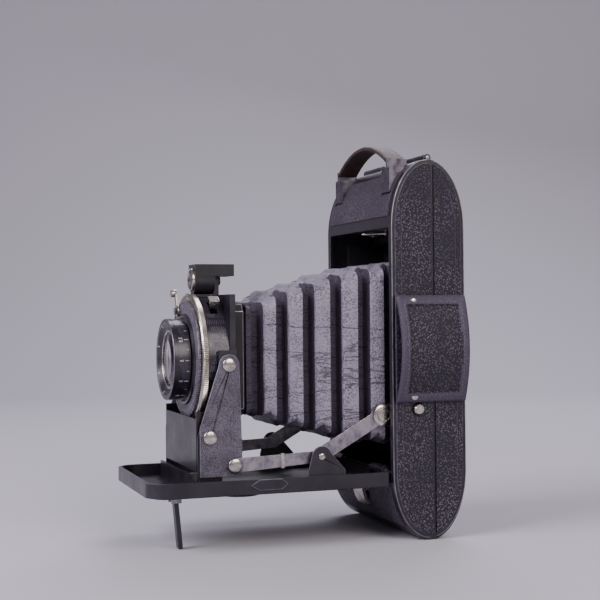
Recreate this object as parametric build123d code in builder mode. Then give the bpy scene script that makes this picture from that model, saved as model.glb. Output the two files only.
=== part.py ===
from build123d import *
import math
import os

# Self-erecting folding roll-film camera, opened and standing on its lower end.
# Millimetres. X is the width, Y the depth with the lens towards -Y, Z is up.
# The origin is on the resting flat at the lower end, at mid width and mid depth.

# ---- driving sizes: body ----
body_width = 82.0
body_depth = 37.0
body_height = 172.0
spool_radius = 11.5
end_rise = 2 * spool_radius + 8
wall = 1.5
leather = 0.5
side_leather = 0.8
rest_half = 3.0
seam_y = 2.0
seam_gap = 0.15
opening_half = body_width / 2 - 4
opening_low = end_rise
opening_high = body_height - end_rise
partition = 1.4
border = 3.4

# ---- driving sizes: film path ----
spool_half = 32.3
spool_core = 4.0
spool_bore = 2.2
spool_y = -1.0
spool_inset = spool_radius + 5.9
gate_width = 57.0
gate_height = opening_high - opening_low - 24
gate_z = (opening_low + opening_high) / 2 - 2
gate_y = body_depth / 2 - 6.5
gate_thickness = 1.2
roller_radius = 1.6

# ---- driving sizes: bed ----
bed_length = opening_high - opening_low
bed_half = body_width / 2 - 3.3
bed_depth = 7.0
bed_rim = 1.7
bed_floor = 0.7
bed_corner = 9.0
hinge_pin_radius = 1.0
knuckle = 2.2

# ---- driving sizes: front standard and linkage ----
hinge = (-body_depth / 2, opening_low)
lens_z = hinge[1] + 51
plate = 1.0
layer = 1.3
ear_x = bed_half - 2.5
strut_x = ear_x - 2
link_x = strut_x - layer
arm_x = link_x - layer
flange_x = arm_x - layer
thin_plate = 0.8
rivet_radius = 1.5
rivet_head = 3.0
rivet_rise = 0.9
arm_pivot = (hinge[0] - 81.6, hinge[1] + 17.9)
standard_pivot = (hinge[0] - 72.8, hinge[1] + 49.2)
link_pivot = (hinge[0] - 70.7, hinge[1] + 5.5)
strut_pivot = (hinge[0] - 1.9, hinge[1] + 25.1)
ear_pin = (hinge[0] - 31.9, hinge[1] + 8)
strut_length = 35.5
strut_angle = -29.4
strut_half = 3.3
stud_radius = 3.4
link_length = 39.0

# ---- driving sizes: shutter and lens ----
shutter_radius = 28.5
ring_radius = shutter_radius + 1.3
face_radius = shutter_radius - 2
focus_radius = 18.3
focus_length = 7.6
panel_y = hinge[0] - 71.5
lens_front_y = panel_y - 22.5
panel_thickness = 2.5
drum_front_y = panel_y - 9.4
ring_length = 3.0
bellows_front_half = 26.0
bellows_front_rise = 24.5
bellows_mouth_half = 31.2
bellows_mouth_rise = gate_height / 2 - 2
bellows_rear_rise = gate_height / 2 + 1.6
bellows_wall = 0.9
pleat_pitch = 12.3
pleat_depth = 4.2

# ---- driving sizes: grips, leg, clearances ----
handle_half = 24.0
handle_bow = 8.6
handle_thickness = 2.2
handle_z = body_height / 2
strap_half = 30.0
strap_bow = 9.0
strap_thickness = 2.2
strap_width = 10.0
strap_y = -11.0
leg_x = 19.0
leg_y = hinge[0] - bed_length + 15.5
leg_width = 4.4
leg_thickness = 2.0
fit = 0.05
gap = 0.3
seat = 0.1

# ---- derived places ----
front_y = hinge[0]
metal_half = body_width / 2 - side_leather
metal_depth = body_depth / 2 - leather
metal_rise = end_rise - leather
inner_half = metal_half - wall
inner_depth = metal_depth - wall
inner_rise = metal_rise - wall
low_rise = end_rise / math.sqrt(1 - (rest_half / (body_depth / 2)) ** 2)
straight_low = end_rise
straight_high = body_height - end_rise
bed_top = opening_low - gap
bed_under = opening_low - bed_depth
bed_inside = bed_under + leather + bed_floor
bed_rear = front_y - gap
bed_front = front_y - bed_length
top_spool_z = body_height - spool_inset
low_spool_z = spool_inset
back_hinge_z = body_height + 0.8
back_hinge_radius = 0.9
back_knuckle = 1.8
bellows_front_y = panel_y + panel_thickness + 5.5
bellows_rear_y = gate_y - gate_thickness / 2 - 0.1
sides = {"left": 1, "right": -1}
pieces = {}


def capsule(half_depth, rise_low, rise_high, mode=Mode.ADD):
    """Side outline of the body: straight sides closed by half ellipses."""
    with BuildLine() as outline:
        Line((half_depth, straight_low), (half_depth, straight_high))
        EllipticalCenterArc((0, straight_high), half_depth, rise_high, 0, arc_size=180)
        Line((-half_depth, straight_high), (-half_depth, straight_low))
        EllipticalCenterArc((0, straight_low), half_depth, rise_low, 180, arc_size=180)
    make_face(outline.edges(), mode=mode)


def metal_solid():
    """Outer form of the pressed metal case, flat where it stands."""
    with BuildSketch(Plane.YZ) as section:
        capsule(metal_depth, low_rise, metal_rise)
        with Locations((0, -5)):
            Rectangle(body_depth, 10, mode=Mode.SUBTRACT)
    extrude(section.sketch, amount=metal_half, both=True)


def cavity():
    """Room inside the case, behind one wall thickness."""
    with BuildSketch(Plane.YZ) as section:
        capsule(inner_depth, inner_rise, inner_rise)
    extrude(section.sketch, amount=inner_half, both=True, mode=Mode.SUBTRACT)


def box(x_low, x_high, y_low, y_high, z_low, z_high, mode=Mode.ADD):
    """A plain block given by its six faces."""
    middle = ((x_low + x_high) / 2, (y_low + y_high) / 2, (z_low + z_high) / 2)
    with Locations(middle):
        Box(x_high - x_low, y_high - y_low, z_high - z_low, mode=mode)


def rod_x(x_low, x_high, y, z, radius, mode=Mode.ADD):
    """A round bar or bore along X."""
    with BuildSketch(Plane.YZ.offset(x_low)) as section:
        with Locations((y, z)):
            Circle(radius)
    extrude(section.sketch, amount=x_high - x_low, mode=mode)


def rod_y(y_low, y_high, x, z, radius, mode=Mode.ADD):
    """A round bar or bore along Y."""
    with BuildSketch(Plane.XZ.offset(-y_high)) as section:
        with Locations((x, z)):
            Circle(radius)
    extrude(section.sketch, amount=y_high - y_low, mode=mode)


def span(sign, low, high):
    """X range of a layer on the left (+1) or right (-1) side."""
    return (low, high) if sign > 0 else (-high, -low)


def rivet(sign, place, low, head_low, head=rivet_head):
    """Shouldered rivet along X with a domed head on its outer side."""
    rod_x(*span(sign, low, head_low), *place, rivet_radius)
    with BuildSketch(Plane.YZ.offset(sign * head_low)) as base:
        with Locations(place):
            Circle(head)
    with BuildSketch(Plane.YZ.offset(sign * (head_low + rivet_rise))) as crown:
        with Locations(place):
            Circle(head * 0.55)
    loft([base.sketch, crown.sketch])


def end_panel(z_low, z_high):
    """Leather skin that follows the rounded ends between two heights."""
    with BuildSketch(Plane.YZ) as section:
        capsule(metal_depth + leather, low_rise + leather, metal_rise + leather)
        capsule(metal_depth, low_rise, metal_rise, mode=Mode.SUBTRACT)
        with Locations((0, (z_low + z_high) / 2)):
            Rectangle(3 * body_depth, z_high - z_low, mode=Mode.INTERSECT)
    extrude(section.sketch, amount=metal_half - border, both=True)


# ================= body =================
bed_knuckles = (26.0, 33.0)
body_knuckles = (18.0, 25.7)
pin_bore = (17.0, 38.0)
back_body_knuckle = (14.0, 26.0)
back_door_knuckle = (26.3, 36.0)
button_place = (-6.0, hinge[1] + 27.8)
button_radius = 2.6
key_bush = 2.5
key_axle = 1.6

with BuildPart() as body_shell:
    metal_solid()
    cavity()
    split(bisect_by=Plane.XZ.offset(-seam_y), keep=Keep.TOP)
    for low in (opening_low - partition, opening_high):
        box(-inner_half - 0.2, inner_half + 0.2, -inner_depth - 0.2, gate_y - gate_thickness,
            low, low + partition)
    box(-bed_half, bed_half, -inner_depth - 0.2, -inner_depth + 2.2,
        opening_low - 5, opening_low)
    for sign in sides.values():
        rod_x(*span(sign, *body_knuckles), front_y, opening_low, knuckle)
        low, high = span(sign, *body_knuckles)
        box(low, high, front_y, front_y + 3, opening_low - 4.5, opening_low - 0.6)
    box(-opening_half, opening_half, front_y - 1, -inner_depth + 0.01,
        opening_low, opening_high, mode=Mode.SUBTRACT)
    for sign in sides.values():
        rod_x(*span(sign, *body_knuckles), front_y, opening_low, knuckle)
        low, high = span(sign, *bed_knuckles)
        rod_x(low - gap, high + gap, front_y, opening_low, knuckle + gap, mode=Mode.SUBTRACT)
        rod_x(*span(sign, *pin_bore), front_y, opening_low, hinge_pin_radius,
              mode=Mode.SUBTRACT)
        rod_x(*span(sign, *back_body_knuckle), seam_y, back_hinge_z, back_knuckle)
        low, high = span(sign, *back_door_knuckle)
        rod_x(low - gap, high + gap, seam_y, back_hinge_z, back_knuckle + gap,
              mode=Mode.SUBTRACT)
        rod_x(*span(sign, 13, 37), seam_y, back_hinge_z, back_hinge_radius, mode=Mode.SUBTRACT)
    rod_x(-metal_half - 1, -inner_half + 1, spool_y, top_spool_z, key_bush,
          mode=Mode.SUBTRACT)
    rod_x(inner_half - 1, metal_half + 1, *button_place, button_radius + gap,
          mode=Mode.SUBTRACT)
    box(-inner_half - 1, inner_half + 1, seam_y - seam_gap / 2, body_depth, -1, body_height - 1,
        mode=Mode.SUBTRACT)
pieces["body_shell"] = body_shell

with BuildPart() as film_gate:
    y_low, y_high = gate_y - gate_thickness / 2, gate_y + gate_thickness / 2
    box(-inner_half + 0.4, inner_half - 0.4, y_low, y_high,
        opening_low + 4, opening_high - 4)
    box(-gate_width / 2, gate_width / 2, y_low, y_high,
        gate_z - gate_height / 2, gate_z + gate_height / 2, mode=Mode.SUBTRACT)
    for low, high in ((opening_low, opening_low + 4), (opening_high - 4, opening_high)):
        box(-inner_half + 0.4, inner_half - 0.4, gate_y - 6, y_high - 0.8, low, high)
    for sign in sides.values():
        low, high = span(sign, inner_half - 1.4, inner_half)
        box(low, high, -8, y_high, opening_low + 4, opening_high - 4)
    rod_x(inner_half - 3, metal_half, *button_place, button_radius + gap, mode=Mode.SUBTRACT)
pieces["film_gate"] = film_gate

with BuildPart() as film_rollers:
    for z in (opening_low + 1.9, opening_high - 1.9):
        rod_x(-spool_half, spool_half, gate_y + 1.6, z, roller_radius)
pieces["film_rollers"] = film_rollers

bearing_flange = 2.8
with BuildPart() as spool_bearings:
    for sign in sides.values():
        for z in (low_spool_z, top_spool_z):
            rod_x(*span(sign, inner_half - 2.6, inner_half), spool_y, z, bearing_flange)
            if sign > 0 or z == low_spool_z:
                rod_x(*span(sign, spool_half - 4, inner_half - 2), spool_y, z,
                      spool_bore - fit)
    rod_x(-metal_half, -inner_half + 1, spool_y, top_spool_z, key_bush)
    rod_x(-metal_half - 1, -inner_half + 3, spool_y, top_spool_z, key_axle,
          mode=Mode.SUBTRACT)
pieces["spool_bearings"] = spool_bearings

film_slot = spool_half - 3.3
for name, z in (("supply_spool", low_spool_z), ("take_up_spool", top_spool_z)):
    with BuildPart() as spool:
        rod_x(-spool_half, spool_half, spool_y, z, spool_core)
        for sign in sides.values():
            rod_x(*span(sign, spool_half - 0.9, spool_half), spool_y, z, spool_radius)
            rod_x(*span(sign, spool_half - 6, spool_half + 1), spool_y, z, spool_bore,
                  mode=Mode.SUBTRACT)
        box(-film_slot, film_slot, spool_y - 0.5, spool_y + 0.5, z - 0.1, z + spool_core + 1,
            mode=Mode.SUBTRACT)
    pieces[name] = spool

key_hub = 5.4
key_length = 17.0
key_thickness = 3.4
key_rise = 9.5
with BuildPart() as wind_key:
    skin = body_width / 2
    rod_x(-skin - 1.2, -spool_half + 4, spool_y, top_spool_z, key_axle - fit)
    rod_x(-spool_half - 2, -spool_half + 4, spool_y, top_spool_z, spool_bore - fit)
    rod_x(-skin - 3.2, -skin - 0.9, spool_y, top_spool_z, key_hub)
    with BuildSketch(Plane.YZ.offset(-skin - key_rise)):
        with Locations((spool_y, top_spool_z)):
            SlotOverall(key_length, key_thickness)
    extrude(amount=key_rise - 3.1)
pieces["wind_key"] = wind_key

with BuildPart() as bed_hinge_pins:
    for sign in sides.values():
        rod_x(*span(sign, body_knuckles[0], bed_knuckles[1] + 0.4), front_y, opening_low,
              hinge_pin_radius)
pieces["bed_hinge_pins"] = bed_hinge_pins

with BuildPart() as back_hinge_pin:
    rod_x(-back_door_knuckle[1] - 0.6, back_door_knuckle[1] + 0.6, seam_y, back_hinge_z,
          back_hinge_radius)
pieces["back_hinge_pin"] = back_hinge_pin

lug_low = strut_pivot[1] - 9.1
lug_high = strut_pivot[1] + 7.9
lug_root = -6.0
lug_back = 4.0
with BuildPart() as strut_lugs:
    tip_y = strut_pivot[0] - stud_radius
    for sign in sides.values():
        with BuildSketch(Plane.YZ.offset(sign * link_x)):
            with BuildLine():
                Polyline((tip_y, strut_pivot[1] - 3), (lug_root, lug_low), (lug_back, lug_low),
                         (lug_back, lug_high), (lug_root, lug_high), (tip_y, strut_pivot[1] + 3),
                         close=True)
            make_face()
            with Locations(strut_pivot):
                Circle(rivet_radius, mode=Mode.SUBTRACT)
        extrude(amount=sign * plate)
        low, high = span(sign, link_x, inner_half - 1.5)
        box(low, high, lug_back - 1.4, lug_back, lug_low, lug_high)
        head_low = strut_x + thin_plate + seat
        rivet(sign, strut_pivot, link_x, head_low, stud_radius)
pieces["strut_lugs"] = strut_lugs

latch_half = 8.0
with BuildPart() as upper_leather:
    end_panel(opening_high + 5, body_height - 6)
    box(-body_width, body_width, front_y + 13, body_depth, 0, body_height + 5,
        mode=Mode.SUBTRACT)
    for sign in sides.values():
        low, high = span(sign, strap_half - 5.2, strap_half + 5)
        box(low, high, strap_y - strap_width / 2 - 0.2, strap_y + strap_width,
            straight_high, body_height, mode=Mode.SUBTRACT)

with BuildPart() as front_leathers:
    end_panel(5.5, opening_low - 6.5)
    box(-body_width, body_width, front_y + 14, body_depth, 0, body_height + 5,
        mode=Mode.SUBTRACT)
    box(-latch_half - 0.5, latch_half + 0.5, -body_depth, 0, 10.5, 26, mode=Mode.SUBTRACT)
    add(upper_leather.part)
pieces["front_leathers"] = front_leathers


def side_skin(y_low, y_high):
    """Leather on both flat sides, inside a bare metal border."""
    inset = 2.0
    for sign in sides.values():
        with BuildSketch(Plane.YZ.offset(sign * metal_half)) as skin:
            capsule(metal_depth - inset, metal_rise - inset, metal_rise - inset)
            with Locations(((y_low + y_high) / 2, body_height / 2)):
                Rectangle(y_high - y_low, body_height, mode=Mode.INTERSECT)
            with Locations(button_place if sign > 0 else (spool_y, top_spool_z)):
                Circle(button_radius + gap, mode=Mode.SUBTRACT)
        extrude(skin.sketch, amount=sign * side_leather)


grip_rivets = (handle_z - handle_half + 3, handle_z + handle_half - 3)
grip_rivet_y = -9.0
grip_rivet = 1.6
grip_washer = 2.2
with BuildPart() as side_leathers:
    side_skin(-body_depth, seam_y - 0.8)
    for z in grip_rivets:
        rod_x(metal_half, metal_half + 2, grip_rivet_y, z, grip_washer, mode=Mode.SUBTRACT)
pieces["side_leathers"] = side_leathers

handle_skin = body_width / 2 + gap
with BuildPart() as carry_handle:
    with BuildSketch(Plane.XZ.offset(-body_depth / 2 + 1.5)):
        with BuildLine():
            inner = ThreePointArc(
                (handle_skin, handle_z - handle_half + 5),
                (handle_skin + handle_bow - handle_thickness, handle_z),
                (handle_skin, handle_z + handle_half - 5),
            )
            outer = ThreePointArc(
                (handle_skin + handle_thickness, handle_z - handle_half),
                (handle_skin + handle_bow, handle_z),
                (handle_skin + handle_thickness, handle_z + handle_half),
            )
            Polyline(inner @ 0, (handle_skin, handle_z - handle_half), outer @ 0)
            Polyline(inner @ 1, (handle_skin, handle_z + handle_half), outer @ 1)
        make_face()
    extrude(amount=body_depth - 3)
    for z in grip_rivets:
        rod_x(handle_skin - 1, handle_skin + 4, grip_rivet_y, z, grip_rivet, mode=Mode.SUBTRACT)
pieces["carry_handle"] = carry_handle

with BuildPart() as handle_rivets:
    for z in grip_rivets:
        rod_x(metal_half, handle_skin + handle_thickness + 0.5, grip_rivet_y, z, grip_rivet)
        rod_x(metal_half, handle_skin, grip_rivet_y, z, grip_washer)
pieces["handle_rivets"] = handle_rivets

with BuildPart() as bed_release_button:
    rod_x(inner_half - 1.2, metal_half + side_leather + 1.2, *button_place, button_radius)
    with BuildSketch(Plane.YZ.offset(metal_half + side_leather + 1.2)):
        with Locations(button_place):
            Circle(button_radius)
    extrude(amount=0.9, taper=35)
pieces["bed_release_button"] = bed_release_button

strap_end_z = straight_high + metal_rise * math.sqrt(1 - (strap_y / metal_depth) ** 2)
lug_z = strap_end_z + 5.2
with BuildPart() as top_strap:
    with BuildSketch(Plane.XZ.offset(-strap_y - strap_width / 2)):
        with BuildLine():
            inner = ThreePointArc((-strap_half, lug_z), (0, lug_z + strap_bow), (strap_half, lug_z))
            outer = ThreePointArc(
                (-strap_half, lug_z + strap_thickness),
                (0, lug_z + strap_bow + strap_thickness),
                (strap_half, lug_z + strap_thickness),
            )
            Line(inner @ 0, outer @ 0)
            Line(inner @ 1, outer @ 1)
        make_face()
    extrude(amount=strap_width)
pieces["top_strap"] = top_strap

with BuildPart() as case_form:
    metal_solid()

with BuildPart() as strap_lugs:
    for sign in sides.values():
        low, high = span(sign, strap_half, strap_half + 1.4)
        box(low, high, strap_y - strap_width / 2, strap_y + strap_width / 2,
            strap_end_z - 8, lug_z + strap_thickness)
        low, high = span(sign, strap_half - 5, strap_half + 4)
        box(low, high, strap_y - strap_width / 2, strap_y + strap_width / 2,
            strap_end_z - 8, strap_end_z + 3.2)
    add(case_form.part, mode=Mode.SUBTRACT)
pieces["strap_lugs"] = strap_lugs

spring_wire = 0.6
spring_half = 8.0
spring_rear = -6.0
spring_tip = -15.0
foot = 1.4
with BuildPart() as catch_spring:
    spring_z = opening_high - 1.2
    with BuildLine(Plane.XY.offset(spring_z)):
        Polyline((-spring_half, spring_rear), (0, spring_tip), (spring_half, spring_rear))
    with BuildSketch(Plane(origin=(-spring_half, spring_rear, spring_z),
                           z_dir=(spring_half, spring_tip - spring_rear, 0))):
        Circle(spring_wire)
    sweep(transition=Transition.RIGHT)
    for sign in sides.values():
        box(*span(sign, spring_half - foot, spring_half + foot), spring_rear - 1.2,
            spring_rear + foot, opening_high - 2, opening_high)
pieces["catch_spring"] = catch_spring

# ================= back =================
window_place = (0.0, gate_z - 22)
window_radius = 7.0
cover_pivot = (0.0, window_place[1] + 14)
latch_pivot = (-18.3, 20.6)

with BuildPart() as back_shell:
    metal_solid()
    cavity()
    split(bisect_by=Plane.XZ.offset(-seam_y - seam_gap / 2), keep=Keep.BOTTOM)
    for sign in sides.values():
        rod_x(*span(sign, *back_door_knuckle), seam_y, back_hinge_z, back_knuckle)
        low, high = span(sign, *back_body_knuckle)
        rod_x(low - gap, high + gap, seam_y, back_hinge_z, back_knuckle + gap,
              mode=Mode.SUBTRACT)
        rod_x(*span(sign, 13, 38), seam_y, back_hinge_z, back_hinge_radius + fit,
              mode=Mode.SUBTRACT)
    rod_y(metal_depth - wall - 1, metal_depth + 1, *window_place, window_radius,
          mode=Mode.SUBTRACT)
    rod_y(metal_depth - 0.5, metal_depth + leather + 0.2, *cover_pivot, 1.5)
    rod_y(metal_depth, metal_depth + leather + 1.4, *cover_pivot, 1.2)
    rod_y(metal_depth + leather + 1.4, metal_depth + leather + 2.0, *cover_pivot, 2.4)
pieces["back_shell"] = back_shell

with BuildPart() as back_leathers:
    box(-metal_half + border, metal_half - border, metal_depth, metal_depth + leather,
        straight_low - 4, straight_high + 4)
    with BuildSketch(Plane.YZ):
        capsule(metal_depth + leather, metal_rise + leather, metal_rise + leather)
        with Locations((body_depth / 2, body_height / 2)):
            Rectangle(body_depth - 9, body_height - 14, mode=Mode.INTERSECT)
    extrude(amount=metal_half - border, both=True)
    add(case_form.part, mode=Mode.SUBTRACT)
    rod_y(metal_depth - 1, metal_depth + 1, *window_place, window_radius + 1.2,
          mode=Mode.SUBTRACT)
    rod_y(metal_depth - 1, metal_depth + 1, *cover_pivot, 3.0, mode=Mode.SUBTRACT)
    side_skin(seam_y + 0.8, body_depth)
pieces["back_leathers"] = back_leathers

with BuildPart() as red_window:
    rod_y(metal_depth - wall, metal_depth - 0.4, *window_place, window_radius)
pieces["red_window"] = red_window

with BuildPart() as window_cover:
    with BuildSketch(Plane.XZ.offset(-metal_depth - leather - 1.2)):
        with BuildLine():
            Line((-3, cover_pivot[1]), (-window_radius - 2, window_place[1]))
            ThreePointArc((-window_radius - 2, window_place[1]),
                          (0, window_place[1] - window_radius - 2),
                          (window_radius + 2, window_place[1]))
            Line((window_radius + 2, window_place[1]), (3, cover_pivot[1]))
            ThreePointArc((3, cover_pivot[1]), (0, cover_pivot[1] + 3), (-3, cover_pivot[1]))
        make_face()
        with Locations(cover_pivot):
            Circle(1.2 + fit, mode=Mode.SUBTRACT)
    extrude(amount=0.8)
    rod_y(metal_depth + leather + 1.2, metal_depth + leather + 2.6, 0,
          window_place[1] - window_radius + 1, 1.2)
pieces["window_cover"] = window_cover

plate_half = 34.0
plate_front = gate_y + 2
plate_rear = gate_y + 2.9
with BuildPart() as pressure_plate:
    box(-plate_half, plate_half, plate_front, plate_rear, opening_low + 6, opening_high - 6)
pieces["pressure_plate"] = pressure_plate

bow_half = 22.0
bow_width = 8.0
bow_sheet = 0.4
with BuildPart() as pressure_springs:
    for z in (gate_z - 24, gate_z + 24):
        with BuildSketch(Plane.XY.offset(z - bow_width / 2)):
            with BuildLine():
                rim = inner_depth - bow_sheet
                Polyline((-bow_half, inner_depth), (-bow_half, rim), (0, plate_rear),
                         (bow_half, rim), (bow_half, inner_depth), (0, plate_rear + 0.5),
                         close=True)
            make_face()
        extrude(amount=bow_width)
pieces["pressure_springs"] = pressure_springs

# ================= back latch =================
latch_pin_radius = 0.9
with BuildPart() as latch_base:
    for sign in sides.values():
        low, high = span(sign, latch_half - 1.5, latch_half)
        with BuildSketch(Plane.YZ.offset(low)):
            with Locations((latch_pivot[0] + 0.4, latch_pivot[1])):
                Rectangle(4.4, 4.4)
            with Locations(latch_pivot):
                Circle(latch_pin_radius + fit, mode=Mode.SUBTRACT)
        extrude(amount=high - low)
    add(case_form.part, mode=Mode.SUBTRACT)
pieces["latch_base"] = latch_base

# Depth and height of the latch's outer and inner face, from its pivot.
latch_outer = ((-1.1, 0), (-0.3, -4.8), (1.9, -9.2))
latch_inner = ((0.4, 0), (1.2, -4.2), (2.9, -8.4))
latch_reach = latch_half - 1.9
with BuildPart() as back_latch:
    with BuildSketch(Plane.YZ.offset(-latch_reach)):
        with BuildLine():
            outer = ThreePointArc(*[Vector(*latch_pivot) + Vector(*spot) for spot in latch_outer])
            inner = ThreePointArc(*[Vector(*latch_pivot) + Vector(*spot) for spot in latch_inner])
            Line(outer @ 0, inner @ 0)
            Line(outer @ 1, inner @ 1)
        make_face()
        with Locations(latch_pivot):
            Circle(1.1)
    extrude(amount=2 * latch_reach)
    rod_x(-latch_half, latch_half, *latch_pivot, latch_pin_radius)
pieces["back_latch"] = back_latch

# ================= bed =================
bush_place = (0.0, front_y - 59.5)
bush_radius = 10.0
neck_radius = 4.4
with BuildPart() as bed_tray:
    with BuildSketch(Plane.XY.offset(bed_under + leather)):
        with Locations((0, (bed_rear + bed_front) / 2)):
            Rectangle(2 * bed_half, bed_rear - bed_front)
        fillet(vertices().group_by(Axis.Y)[0], bed_corner)
    extrude(amount=bed_top - bed_under - leather)
    with BuildSketch(Plane.XY.offset(bed_inside)):
        with Locations((0, (bed_rear + bed_front) / 2)):
            Rectangle(2 * (bed_half - bed_rim), bed_rear - bed_front - 2 * bed_rim)
        fillet(vertices().group_by(Axis.Y)[0], bed_corner - bed_rim)
    extrude(amount=bed_depth, mode=Mode.SUBTRACT)
    fillet(edges().filter_by(Axis.Z).group_by(Axis.Y)[-1], 0.6)
    for sign in sides.values():
        rod_x(*span(sign, *bed_knuckles), front_y, opening_low, knuckle)
        low, high = span(sign, *bed_knuckles)
        box(low, high, bed_rear - 2.4, front_y, opening_low - 4, opening_low - 0.8)
        low, high = span(sign, *body_knuckles)
        rod_x(low - gap, high + gap, front_y, opening_low, knuckle + gap, mode=Mode.SUBTRACT)
        box(low - gap, high + gap, front_y - 3.2, front_y + 1, opening_low - 4.8, opening_low,
            mode=Mode.SUBTRACT)
        rod_x(*span(sign, 24, 35), front_y, opening_low, hinge_pin_radius + fit,
              mode=Mode.SUBTRACT)
    with Locations((*bush_place, bed_under)):
        Cylinder(neck_radius, 6 * bed_floor, mode=Mode.SUBTRACT)
pieces["bed_tray"] = bed_tray

with BuildPart() as bed_leather:
    with BuildSketch(Plane.XY.offset(bed_under)):
        with Locations((0, (bed_rear + bed_front) / 2)):
            Rectangle(2 * (bed_half - 1.2), bed_rear - bed_front - 5)
        fillet(vertices(), bed_corner - 1.5)
        with Locations(bush_place):
            Circle(bush_radius + 0.6, mode=Mode.SUBTRACT)
        with Locations((leg_x, leg_y)):
            Rectangle(11, 8, mode=Mode.SUBTRACT)
    extrude(amount=leather)
pieces["bed_leather"] = bed_leather

bush_height = 5.4
thread_radius = 2.55
with BuildPart() as tripod_bush:
    with Locations((*bush_place, bed_under + leather)):
        Cylinder(bush_radius, bush_height, align=(Align.CENTER, Align.CENTER, Align.MAX))
        Cylinder(neck_radius, bed_floor + 0.4, align=(Align.CENTER, Align.CENTER, Align.MIN))
    chamfer(faces().sort_by(Axis.Z)[0].edges(), 0.8)
    with Locations((*bush_place, bed_under + leather - bush_height)):
        Cylinder(thread_radius, bush_height - 0.2, align=(Align.CENTER, Align.CENTER, Align.MIN),
                 mode=Mode.SUBTRACT)
pieces["tripod_bush"] = tripod_bush

with BuildPart() as bed_bracket:
    low, high = arm_pivot[0] - 5.4, arm_pivot[0] + 5.6
    base_half = flange_x + plate
    box(-base_half, base_half, low - 2.6, panel_y, bed_inside, bed_inside + plate)
    box(-base_half, base_half, low - 2.6, low - 1.6, bed_inside, bed_top + 2.3)
    for sign in sides.values():
        with BuildSketch(Plane.YZ.offset(sign * flange_x)):
            with BuildLine():
                Line((low, arm_pivot[1]), (low, bed_inside))
                Line((low, bed_inside), (high, bed_inside))
                Line((high, bed_inside), (high, arm_pivot[1]))
                ThreePointArc((high, arm_pivot[1]), (arm_pivot[0] + 0.1, arm_pivot[1] + 5),
                              (low, arm_pivot[1]))
            make_face()
            with Locations(arm_pivot):
                Circle(rivet_radius, mode=Mode.SUBTRACT)
        extrude(amount=sign * plate)
pieces["bed_bracket"] = bed_bracket

ear_front = ear_pin[0] - 6.3
ear_rear = ear_pin[0] + 10.9
ear_shoulder = hinge[1] + 2
ear_rivet = 0.9
tab_sheet = 0.9
# Depth and height of the lozenge tab's corners, from its front point.
tab_front = hinge[0] - 65.5
tab_corners = ((0, -2.4), (4, 0), (14, 0), (17, -2.2), (14, -4.6), (4, -4.6))
with BuildPart() as bed_ears:
    for sign in sides.values():
        with BuildSketch(Plane.YZ.offset(sign * ear_x)):
            front_round = (ear_pin[0] - 4.6, ear_pin[1] + 1)
            rear_round = (ear_pin[0] + 4.4, ear_pin[1] + 1.4)
            with BuildLine():
                Polyline((ear_front, bed_inside), (ear_front, ear_shoulder), front_round)
                ThreePointArc(front_round, (ear_pin[0], ear_pin[1] + 4.6), rear_round)
                Polyline(rear_round, (ear_rear, ear_shoulder), (ear_rear, bed_inside),
                         (ear_front, bed_inside))
            make_face()
            with Locations(ear_pin):
                Circle(ear_rivet, mode=Mode.SUBTRACT)
        extrude(amount=sign * (bed_half - bed_rim - ear_x))
    for sign in sides.values():
        with BuildSketch(Plane.YZ.offset(sign * bed_half)):
            with BuildLine():
                Polyline(*[(tab_front + y, bed_top + z) for y, z in tab_corners], close=True)
            make_face()
        extrude(amount=sign * tab_sheet)
pieces["bed_ears"] = bed_ears

with BuildPart() as bed_rivets:
    for sign in sides.values():
        outer = bed_half - bed_rim
        rod_x(*span(sign, ear_x, outer), *ear_pin, ear_rivet)
        rod_x(*span(sign, outer, outer + 0.5), *ear_pin, 2 * ear_rivet)
    head_low = arm_x + plate + seat
    for sign in sides.values():
        rivet(sign, arm_pivot, flange_x, head_low)
pieces["bed_rivets"] = bed_rivets

# ================= folding leg =================
leg_pin_z = bed_under - 1.9
leg_pin_radius = 0.8
leg_pin_head = 1.7
with BuildPart() as leg_bracket:
    for sign in sides.values():
        low = leg_x + sign * (leg_width / 2 + 0.1)
        x_low, x_high = sorted((low, low + sign * 1.2))
        box(x_low, x_high, leg_y - 2.2, leg_y + 2.2, leg_pin_z - 2, bed_under + leather)
    reach = leg_width / 2 + 1.3
    rod_x(leg_x - reach, leg_x + reach, leg_y, leg_pin_z, leg_pin_radius)
    for sign in sides.values():
        x_low, x_high = sorted((leg_x + sign * reach, leg_x + sign * (reach + 0.5)))
        rod_x(x_low, x_high, leg_y, leg_pin_z, leg_pin_head)
pieces["leg_bracket"] = leg_bracket

leg_foot_y = leg_y + 2.0
with BuildPart() as stand_leg:
    with BuildSketch(Plane.YZ.offset(leg_x - leg_width / 2)):
        with BuildLine():
            Polyline((leg_y - leg_thickness / 2, leg_pin_z), (leg_foot_y - leg_thickness / 2, 0),
                     (leg_foot_y + leg_thickness / 2, 0), (leg_y + leg_thickness / 2, leg_pin_z),
                     close=True)
        make_face()
        with Locations((leg_y, leg_pin_z)):
            Circle(2 * leg_pin_radius)
            Circle(leg_pin_radius + fit, mode=Mode.SUBTRACT)
    extrude(amount=leg_width)
pieces["stand_leg"] = stand_leg

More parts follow.
